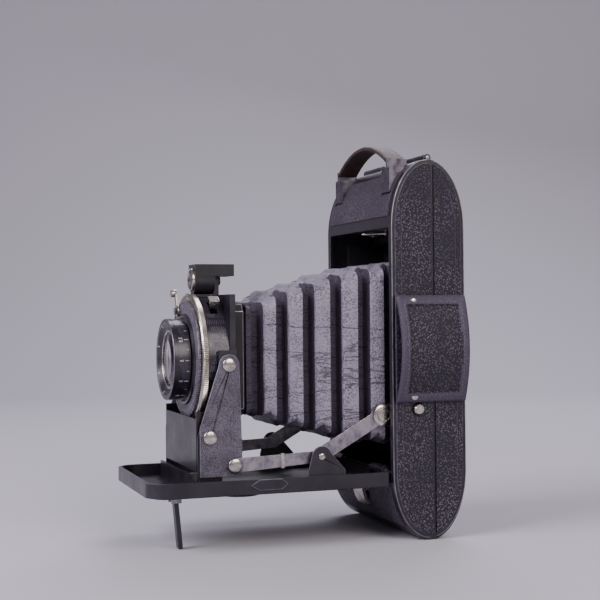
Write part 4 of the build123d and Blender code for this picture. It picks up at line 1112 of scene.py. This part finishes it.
@dataclass
class FoldingChamber:
    """Tapered leathercloth bellows: side folds fall in where the top folds stand out."""

    front_y: float = -81.95
    rear_y: float = 11.2
    side_depth: float = 6.2
    top_depth: float = 5.2
    groove_half: float = 3.2
    groove_floor: float = 1.5
    plain_front: float = -77.6
    front_half: float = 26.0
    half_growth: float = 5.2
    taper_start: float = 82.0
    taper_length: float = 63.0
    axis_climb: float = 2.0
    chamber_length: float = 93.3
    stations: int = 220
    wall: float = 0.7
    folds: tuple[float, ...] = (-76.7, -65.1, -52.9, -40.1, -27.2, -14.8, -3.0)
    rises: tuple[Flat, ...] = ((-82.0, 24.4), (-76.7, 26.2), (-65.1, 31.0), (-52.9, 34.2),
                               (-40.1, 37.9), (-25.6, 41.0), (11.3, 44.4))

    def rise_at(self, y: float) -> float:
        """Half height of the envelope at a depth.

        Args:
            y: depth.

        Returns:
            Millimetres from the axis.
        """
        for (y_low, low), (y_high, high) in zip(self.rises, self.rises[1:]):
            if y <= y_high:
                return low + (high - low) * (y - y_low) / (y_high - y_low)
        return self.rises[-1][1]

    def section(self, y: float, shrink: float) -> list[Point]:
        """Closed ring of the bellows at a depth.

        Args:
            y: depth.
            shrink: millimetres inside the outer face.

        Returns:
            Its points.
        """
        near = min(self.folds, key=lambda f: abs(f - y))
        away = abs(y - near)
        wall_share = (self.groove_half - away) / (self.groove_half - self.groove_floor)
        groove = min(1.0, max(0.0, wall_share))
        groove = groove * groove * (3 - 2 * groove)
        share = min(1.0, away / 6.2)
        ribs = 0.28 * abs(math.sin(3 * math.pi * share)) if 0.08 < share < 0.92 else 0.0
        front = min(1.0, (y + self.taper_start) / self.taper_length)
        ends = min(1.0, (y - self.front_y) / 3.0, (self.rear_y - y) / 3.0)
        half = self.front_half + self.half_growth * front - self.side_depth * groove * ends - shrink
        rise = self.rise_at(y) - self.top_depth * ends * share + ribs * ends - shrink
        centre = LENS_Z + self.axis_climb * (y + self.taper_start) / self.chamber_length
        cut = 2.2 + 2.6 * (1 - share) * ends
        ring: list[Point] = []
        for turn, (sx, sz) in enumerate(((1, 1), (-1, 1), (-1, -1), (1, -1))):
            for k in range(4):
                angle = math.pi / 2 * (k / 3 + turn)
                x = sx * (half - cut) + cut * math.cos(angle)
                z = centre + sz * (rise - cut) + cut * math.sin(angle)
                ring.append((x, y, z))
            following = ((1, 1), (-1, 1), (-1, -1), (1, -1))[(turn + 1) % 4]
            for k in range(1, 8):
                angle_low = math.pi / 2 * (turn + 1)
                start = (sx * (half - cut) + cut * math.cos(angle_low),
                         centre + sz * (rise - cut) + cut * math.sin(angle_low))
                end = (following[0] * (half - cut) + cut * math.cos(angle_low),
                       centre + following[1] * (rise - cut) + cut * math.sin(angle_low))
                mix = k / 8
                slack = 0.35 * math.sin(math.pi * mix) * math.sin(2.1 * near + 5 * mix + turn)
                slack *= ends
                ring.append((start[0] + (end[0] - start[0]) * mix - abs(slack) * math.cos(angle_low), y,
                             start[1] + (end[1] - start[1]) * mix - abs(slack) * math.sin(angle_low)))
        return ring

    def build(self) -> None:
        """Build both faces of the cloth and close its ends."""
        length = self.rear_y - self.front_y
        depths = [self.front_y + length * i / self.stations for i in range(self.stations + 1)]
        rings = [self.section(y, 0.0) for y in depths]
        rings += [self.section(y, self.wall) for y in reversed(depths)]
        count = len(rings[0])
        vertices = [p for ring in rings for p in ring]
        total = len(rings)
        faces = []
        for i in range(total):
            other = (i + 1) % total
            for k in range(count):
                j = (k + 1) % count
                faces.append([i * count + j, i * count + k, other * count + k, other * count + j])
        piece = new_piece("folding_chamber", (vertices, faces), Finishes.chamber, "body",
                          50)
        # Painted shade: faces deep in the side grooves take the near-black copy of the cloth; the plain
        # strip at the front takes it too.
        piece.data.materials.append(Finishes.fold.material())
        for face in piece.data.polygons:
            spot = face.center / MM
            away = min(abs(fold - spot.y) for fold in self.folds)
            flank = abs(spot.x) > abs(spot.z - LENS_Z) * 0.55
            in_painted_groove_shade = away < self.groove_half - 0.5 and flank
            face.material_index = int(in_painted_groove_shade or spot.y < self.plain_front)
        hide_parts("bellows")
        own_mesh(piece)
        dress("bellows_frame", Finishes.inner, 0.2, Finishes.satin)


# ---------------------------------------------------------------- the front


@dataclass
class LensAndShutter:
    """Leaf shutter, its rings and dial, and the lens in its turning mount."""

    ring_radius: float = 29.8
    ring_front: float = -102.4
    ring_rear: float = -99.55
    drum_radius: float = 28.5
    focus_radius: float = 18.3
    focus_front: float = -112.5

    def build(self) -> None:
        """Add knurls, milled ribs, scales and the lens's inner edges."""
        self.knurled_ring()
        self.milled_side()
        self.focus_scale()
        self.dial_lines()

    def knurled_ring(self) -> None:
        """The setting ring, straight-knurled on its rim."""
        front, rear, rim = self.ring_front, self.ring_rear, self.ring_radius
        profile = [(26.3, rear), (26.3, front), (27.6, front), (28.0, front - 0.12), (28.9, front + 0.1),
                   (rim - 0.45, front + 0.55), (rim, front + 0.75), (rim, rear - 0.25),
                   (rim - 0.35, rear)]
        teeth = {6, 7}

        def trim(step: int, corner: int, radius: float) -> float:
            """Cut every other step of the rim."""
            return radius - 0.42 if corner in teeth and step % 2 else radius

        ring = new_piece("knurled_setting_ring", turned(profile, Axis.DEEP, (0.0, LENS_Z), 420, trim),
                         Finishes.nickel, "speed_ring", 30)
        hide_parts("speed_ring")

    def milled_side(self) -> None:
        """Slanting cuts in rows round the drum, each row against the last."""
        ribs = []
        rows = 50
        for row in range(rows):
            around = 2 * math.pi * row / rows
            low = math.degrees(around) % 360
            if abs((low - 55 + 180) % 360 - 180) < 11 or abs((low + 62 + 180) % 360 - 180) < 11:
                continue
            lean = 1 if row % 2 else -1
            for k in range(8):
                y = -98.6 + 1.02 * k
                corners = []
                for end in (-1, 1):
                    angle = around + end * 1.25 / self.drum_radius
                    for edge in (-0.17, 0.17):
                        for lift in (-0.05, 0.2):
                            radius = self.drum_radius + lift
                            corners.append((radius * math.cos(angle), y + end * lean * 0.42 + edge,
                                            LENS_Z + radius * math.sin(angle)))
                ribs.append((corners, BOX_FACES))
        new_piece("milled_drum_ribs", join(ribs), Finishes.cut, "standard", 20)

    def focus_scale(self) -> None:
        """Ticks and distance numerals on the focusing ring, with its turned grooves."""
        marks = []
        radius = self.focus_radius
        numerals = ("1", "1.2", "1.5", "2", "2.5", "3", "5", "8", "15", "30")
        for i, text in enumerate(numerals):
            middle = math.radians(150 - 30 * i)
            marks.append(self.on_ring(written(text, 2.3), middle, radius, self.focus_front + 4.2))
            marks.append(self.tick(middle, radius, self.focus_front + 4.9, self.focus_front + 6.8, 0.16))
            half = middle - math.radians(15)
            marks.append(self.tick(half, radius, self.focus_front + 5.7, self.focus_front + 6.8, 0.12))
        for i, text in enumerate(("2", "4", "6", "8", "11", "16", "22", "32")):
            marks.append(self.on_face(written(text, 1.7), math.radians(70 + 45 * i), 16.2))
        new_piece("focus_scale_marks", join(marks), Finishes.ink, "focus")
        section = ((-0.1, -0.16), (0.13, -0.1), (0.13, 0.1), (-0.1, 0.16))
        grooves = join(turned([(radius + out, y + along) for out, along in section], Axis.DEEP,
                              (0.0, LENS_Z), 96)
                       for y in (self.focus_front + 0.5, self.focus_front + 2.2, self.focus_front + 7.2))
        new_piece("focus_ring_beads", grooves, Finishes.black_brass, "focus")
        profile = [(12.25, -109.6), (12.25, -110.2), (12.9, -110.95), (13.5, -110.9), (13.5, -109.6)]
        edge = turned(profile, Axis.DEEP, (0.0, LENS_Z), 96)
        new_piece("lens_retaining_bead", edge, Finishes.nickel, "focus")

    @staticmethod
    def on_ring(solid: Solid, middle: float, radius: float, y_foot: float) -> Solid:
        """Wrap flat numerals round the lens axis, their feet towards the camera body.

        Args:
            solid: flat numerals.
            middle: angle of their centre.
            radius: radius that they lie on.
            y_foot: depth of their feet.

        Returns:
            The wrapped numerals.
        """
        vertices, faces = solid
        wrapped = []
        for u, v, w in vertices:
            angle = middle - u / radius
            reach = radius + 0.02 + w
            wrapped.append((reach * math.cos(angle), y_foot - v, LENS_Z + reach * math.sin(angle)))
        return wrapped, faces

    def on_face(self, solid: Solid, middle: float, radius: float) -> Solid:
        """Set small numerals on the cone round the glass.

        Args:
            solid: flat numerals.
            middle: angle of their centre.
            radius: radius of their middle.

        Returns:
            The numerals on the cone.
        """
        vertices, faces = solid
        placed = []
        for u, v, w in vertices:
            reach = radius + v - 0.6
            angle = middle - u / radius
            slope = (self.focus_radius - 1.6 - reach) * 0.94
            placed.append((reach * math.cos(angle), self.focus_front + max(0.0, slope) - 0.03 - w,
                           LENS_Z + reach * math.sin(angle)))
        return placed, faces

    @staticmethod
    def tick(angle: float, radius: float, y_low: float, y_high: float, half: float) -> Solid:
        """A filled line along the ring.

        Args:
            angle: place round the ring.
            radius: radius of the ring.
            y_low: one end.
            y_high: other end.
            half: half its width.

        Returns:
            Vertices and faces.
        """
        spread = half / radius
        corners = []
        for y in (y_low, y_high):
            for turn in (-spread, spread):
                for lift in (-0.05, 0.07):
                    reach = radius + lift
                    around = angle + turn
                    corners.append((reach * math.cos(around), y, LENS_Z + reach * math.sin(around)))
        return corners, BOX_FACES

    def dial_lines(self) -> None:
        """A nickel line round the dial and down to its point, and a turned collar inside the dial; the
        screws at its shoulders are not built.
        """
        path = []
        for i in range(61):
            angle = math.radians(-38 + 256 * i / 60)
            path.append((25.9 * math.cos(angle), LENS_Z + 25.9 * math.sin(angle)))
        path.append((0.0, 51.4))
        vertices: list[Point] = []
        faces: list[list[int]] = []
        count = len(path)
        for i, (x, z) in enumerate(path):
            before, after = path[i - 1], path[(i + 1) % count]
            along = Vector((after[0] - before[0], after[1] - before[1])).normalized()
            for across, y in ((-0.28, -103.35), (-0.28, -103.62), (0.28, -103.62), (0.28, -103.35)):
                vertices.append((x - along.y * across, y, z + along.x * across))
        for i in range(count):
            other = (i + 1) % count
            for k in range(4):
                faces.append([i * 4 + k, i * 4 + (k + 1) % 4, other * 4 + (k + 1) % 4, other * 4 + k])
        new_piece("dial_border_line", (vertices, faces), Finishes.satin, "standard")
        collar = turned([(18.9, -103.3), (18.9, -104.3), (19.5, -104.6), (20.4, -104.3), (20.8, -103.3)],
                        Axis.DEEP, (0.0, LENS_Z), 96)
        new_piece("dial_inner_collar", collar, Finishes.black_brass, "standard")

    def dress(self) -> None:
        """Finish the front's CAD nodes."""
        dress("shutter_case", Finishes.black_brass, 0.15)
        dress("scale_plate", Finishes.dial, 0.12, Finishes.satin)
        dress("lens_tube", Finishes.black_brass)
        dress("focus_ring", Finishes.black_brass, 0.2, Finishes.satin)
        dress("lens_ring", Finishes.nickel, 0.12)
        for node in ("front_lens", "rear_lens", "finder_lenses"):
            dress(node, Finishes.glass)
        dress("rear_lens_cell", Finishes.black_brass, 0.15)
        dress("shutter_blades", Finishes.steel)
        dress("iris", Finishes.inner)
        dress("finder_bracket", Finishes.enamel, 0.12)
        dress("finder_mirror", Finishes.silvered)
        dress("finder_body", Finishes.enamel, 0.35, Finishes.satin)
        for node in ("shutter_release", "aperture_lever", "cocking_lever"):
            dress(node, Finishes.nickel, 0.15)
        dress("standard_frame", Finishes.enamel, 0.2)
        bezel = turned([(4.25, -100.0), (4.25, -100.45), (4.7, -100.65), (5.15, -100.45), (5.2, -99.45),
                        (4.25, -99.45)], Axis.DEEP, (0.0, FINDER_Z), 64)
        new_piece("finder_bezel", bezel, Finishes.nickel, "finder")
        self.saddle()

    def saddle(self) -> None:
        """Fill the gap under the finder with a cradle that leaves room for its turn."""
        foot = [math.radians(82 + 2 * i) for i in range(9)]
        section = [(-3.2, 111.35), (3.2, 111.35)]
        section += [(28.4 * math.cos(a), LENS_Z + 28.4 * math.sin(a)) for a in foot]
        vertices = [(x, y, z) for y in (-98.4, -91.5) for x, z in section]
        count = len(section)
        faces = [[i, (i + 1) % count, count + (i + 1) % count, count + i] for i in range(count)]
        faces += [list(reversed(range(count))), list(range(count, 2 * count))]
        new_piece("finder_saddle", (vertices, faces), Finishes.enamel, "standard")


@dataclass
class Linkage:
    """Folding arms, links and struts with their rivets and collars."""

    arm_pivot: Flat = (-100.1, 48.9)
    standard_pivot: Flat = (-91.3, 80.2)
    link_pivot: Flat = (-89.2, 36.5)
    ear_pin: Flat = (-50.4, 39.0)
    strut_pivot: Flat = (-20.4, 56.1)
    shank: float = 1.45
    shank_root: float = 29.4
    head_rise: float = 1.0
    collar_y: Flat = (-68.4, -66.9)
    collar_z: Flat = (34.45, 41.0)
    collar_x: Flat = (31.78, 33.02)
    link_slope: float = 2.2 / 39.0

    def build(self) -> None:
        """Add domed rivets, the stud's rings and the collar on each link."""
        for body, name, node, place, seat, radius in (
            ("standard", "standard_domes", "standard_rivets", self.standard_pivot, 31.7, 3.05),
            ("arms", "link_domes", "link_rivets", self.link_pivot, 32.8, 3.2),
        ):
            heads = [dome(place, seat, self.head_rise, radius, side) for side in Side]
            top = seat + 0.2
            shanks = [turned([(self.shank, s.value * self.shank_root), (self.shank, s.value * top),
                              (0.02, s.value * top), (0.02, s.value * self.shank_root)],
                             Axis.ACROSS, place, 20) for s in Side]
            piece = new_piece(name, join(heads + shanks), Finishes.nickel, body)
            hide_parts(node)
        bed = [dome(self.arm_pivot, 31.7, 1.0, 3.05, side) for side in Side]
        bed += [turned([(1.45, s.value * 29.3), (1.45, s.value * 31.9), (0.02, s.value * 31.9),
                        (0.02, s.value * 29.3)], Axis.ACROSS, self.arm_pivot, 20) for s in Side]
        bed += [dome(self.ear_pin, 36.0, 0.55, 1.5, side) for side in Side]
        bed += [turned([(0.85, s.value * 35.2), (0.85, s.value * 36.2), (0.02, s.value * 36.2),
                        (0.02, s.value * 35.2)], Axis.ACROSS, self.ear_pin, 16) for s in Side]
        piece = new_piece("bed_domes", join(bed), Finishes.nickel, "bed")
        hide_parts("bed_rivets")
        rings = []
        for side in Side:
            profile = [(0.02, 35.15), (1.6, 35.12), (2.5, 35.0), (2.75, 34.6), (3.05, 34.55),
                       (3.3, 35.0), (4.2, 34.95), (4.7, 34.7), (4.7, 34.15), (0.02, 34.15)]
            rings.append(turned([(r, side.value * x) for r, x in profile], Axis.ACROSS,
                                self.strut_pivot, 56))
        new_piece("strut_stud_caps", join(rings), Finishes.nickel, "body", 40)
        collars = []
        for side in Side:
            middle = sum(self.collar_y) / 2
            corners = [(side.value * x, y, z + self.link_slope * (y - middle))
                       for y in self.collar_y for z in self.collar_z for x in self.collar_x]
            collars.append((corners, BOX_FACES))
        new_piece("link_collars", join(collars), Finishes.nickel, "links")

    def dress(self) -> None:
        """Finish the linkage's CAD nodes."""
        dress("arms", Finishes.crackle, 0.18, Finishes.satin)
        dress("links", Finishes.satin, 0.22, Finishes.nickel)
        dress("struts", Finishes.satin, 0.22, Finishes.nickel)


@dataclass
class BedAndLeg:
    """Drop bed with its pressed rim, the tripod bush and the folding leg."""

    def build(self) -> None:
        """Add small screw heads on the bed's bracket, without their slots."""
        screws = []
        for x, y in ((-20.0, -97.0), (20.0, -97.0)):
            radius, top = 1.7, 27.3
            profile = [(0.02, 26.1), (radius, 26.1), (radius, top - 0.3), (radius - 0.3, top),
                       (0.02, top)]
            steps = 28
            vertices = []
            for step in range(steps):
                angle = 2 * math.pi * step / steps
                for r, z in profile:
                    vertices.append((x + r * math.cos(angle), y + r * math.sin(angle), z))
            count = len(profile)
            faces = [[s * count + (k + 1) % count, s * count + k, ((s + 1) % steps) * count + k,
                      ((s + 1) % steps) * count + (k + 1) % count]
                     for s in range(steps) for k in range(count)]
            screws.append((vertices, faces))
        new_piece("bed_screws", join(screws), Finishes.nickel, "bed")

    def dress(self) -> None:
        """Finish the bed's CAD nodes."""
        dress("bed_tray", Finishes.enamel, 0.25, Finishes.satin)
        dress("bed_leather", Finishes.leather, 0.12)
        dress("tripod_bush", Finishes.black_brass, 0.2, Finishes.satin)
        dress("bed_bracket", Finishes.enamel, 0.12)
        dress("bed_ears", Finishes.enamel, 0.15, Finishes.satin)
        dress("leg_bracket", Finishes.steel, 0.12)
        dress("stand_leg", Finishes.enamel, 0.3)


@dataclass
class Studio:
    """Paper sweep, three soft lights and the camera."""

    place: Point = (0.5476, -0.2387, 0.1035)
    forward: Point = (-0.94406, 0.32966, 0.00869)
    roll: float = math.radians(-0.54)
    focal: float = 74.0

    def sweep(self) -> None:
        """A floor that curves up into a backdrop, behind the camera's subject."""
        away = Vector((self.forward[0], self.forward[1], 0)).normalized()
        across = Vector((-away.y, away.x, 0))
        profile = [(-2.2, 0.0)]
        bend, radius = 0.9, 0.5
        profile += [(bend + radius * math.sin(a), radius - radius * math.cos(a))
                    for a in (math.pi / 2 * i / 24 for i in range(25))]
        profile += [(bend + radius, 2.6)]
        vertices, faces = [], []
        for reach in (-2.6, 2.6):
            for along, height in profile:
                spot = away * along + across * reach
                vertices.append((spot.x, spot.y, height - 0.0004))
        count = len(profile)
        for i in range(count - 1):
            faces.append([i, i + 1, count + i + 1, count + i])
        mesh = bpy.data.meshes.new("paper_sweep")
        mesh.from_pydata(vertices, [], faces)
        mesh.shade_smooth()
        mesh.materials.append(Finishes.paper.material())
        sheet = bpy.data.objects.new("paper_sweep", mesh)
        bpy.context.scene.collection.objects.link(sheet)

    @staticmethod
    def light(name: str, place: Point, aim: Point, size: float, power: float, tint: str) -> None:
        """Hang one soft box.

        Args:
            name: its name.
            place: where it hangs, in metres.
            aim: what it points at.
            size: side of its square, in metres.
            power: watts.
            tint: hex colour.
        """
        data = bpy.data.lights.new(name, "AREA")
        data.shape, data.size, data.energy = "SQUARE", size, power
        data.color = linear(tint)[:3]
        lamp = bpy.data.objects.new(name, data)
        lamp.location = place
        lamp.rotation_euler = (Vector(aim) - Vector(place)).to_track_quat("-Z", "Y").to_euler()
        bpy.context.scene.collection.objects.link(lamp)

    def build(self) -> None:
        """Set up the sweep, the lights, the room's light and the camera."""
        self.sweep()
        aim = (0.0, -0.04, 0.08)
        # Name, place, side in metres, watts, tint.
        for name, place, size, power, tint in (
            ("front_softbox", (0.25, -1.0, 0.75), 0.7, 15.0, "#fbf6ff"),
            ("side_softbox", (1.15, 0.25, 0.75), 0.8, 11.0, "#fff8f4"),
            ("rear_softbox", (-0.75, 0.45, 0.95), 0.7, 9.0, "#f4f2ff"),
        ):
            self.light(name, place, aim, size, power, tint)
        world = bpy.data.worlds.new("room")
        bpy.context.scene.world = world
        world.use_nodes = True
        ground = world.node_tree.nodes["Background"]
        ground.inputs["Color"].default_value = linear("#c9c5cf")
        ground.inputs["Strength"].default_value = 0.42
        forward = Vector(self.forward).normalized()
        right = forward.cross(Vector((0, 0, 1))).normalized()
        up = right.cross(forward)
        turned_right = right * math.cos(self.roll) + up * math.sin(self.roll)
        turned_up = up * math.cos(self.roll) - right * math.sin(self.roll)
        data = bpy.data.cameras.new("view_camera")
        data.lens, data.sensor_width, data.clip_start = self.focal, 36.0, 0.01
        eye = bpy.data.objects.new("view_camera", data)
        basis = Matrix((turned_right, turned_up, -forward)).transposed().to_4x4()
        eye.matrix_world = Matrix.Translation(Vector(self.place)) @ basis
        bpy.context.scene.collection.objects.link(eye)
        bpy.context.scene.camera = eye


def main() -> None:
    """Build and dress the whole camera, then light it."""
    logging.basicConfig(level=logging.INFO, format="%(message)s")
    case = Case()
    case.build()
    case.dress()
    CarryHandle().build()
    TopStrap().build()
    FoldingChamber().build()
    front = LensAndShutter()
    front.build()
    front.dress()
    linkage = Linkage()
    linkage.build()
    linkage.dress()
    bed = BedAndLeg()
    bed.build()
    bed.dress()
    Studio().build()


if __name__ == "__main__":
    main()
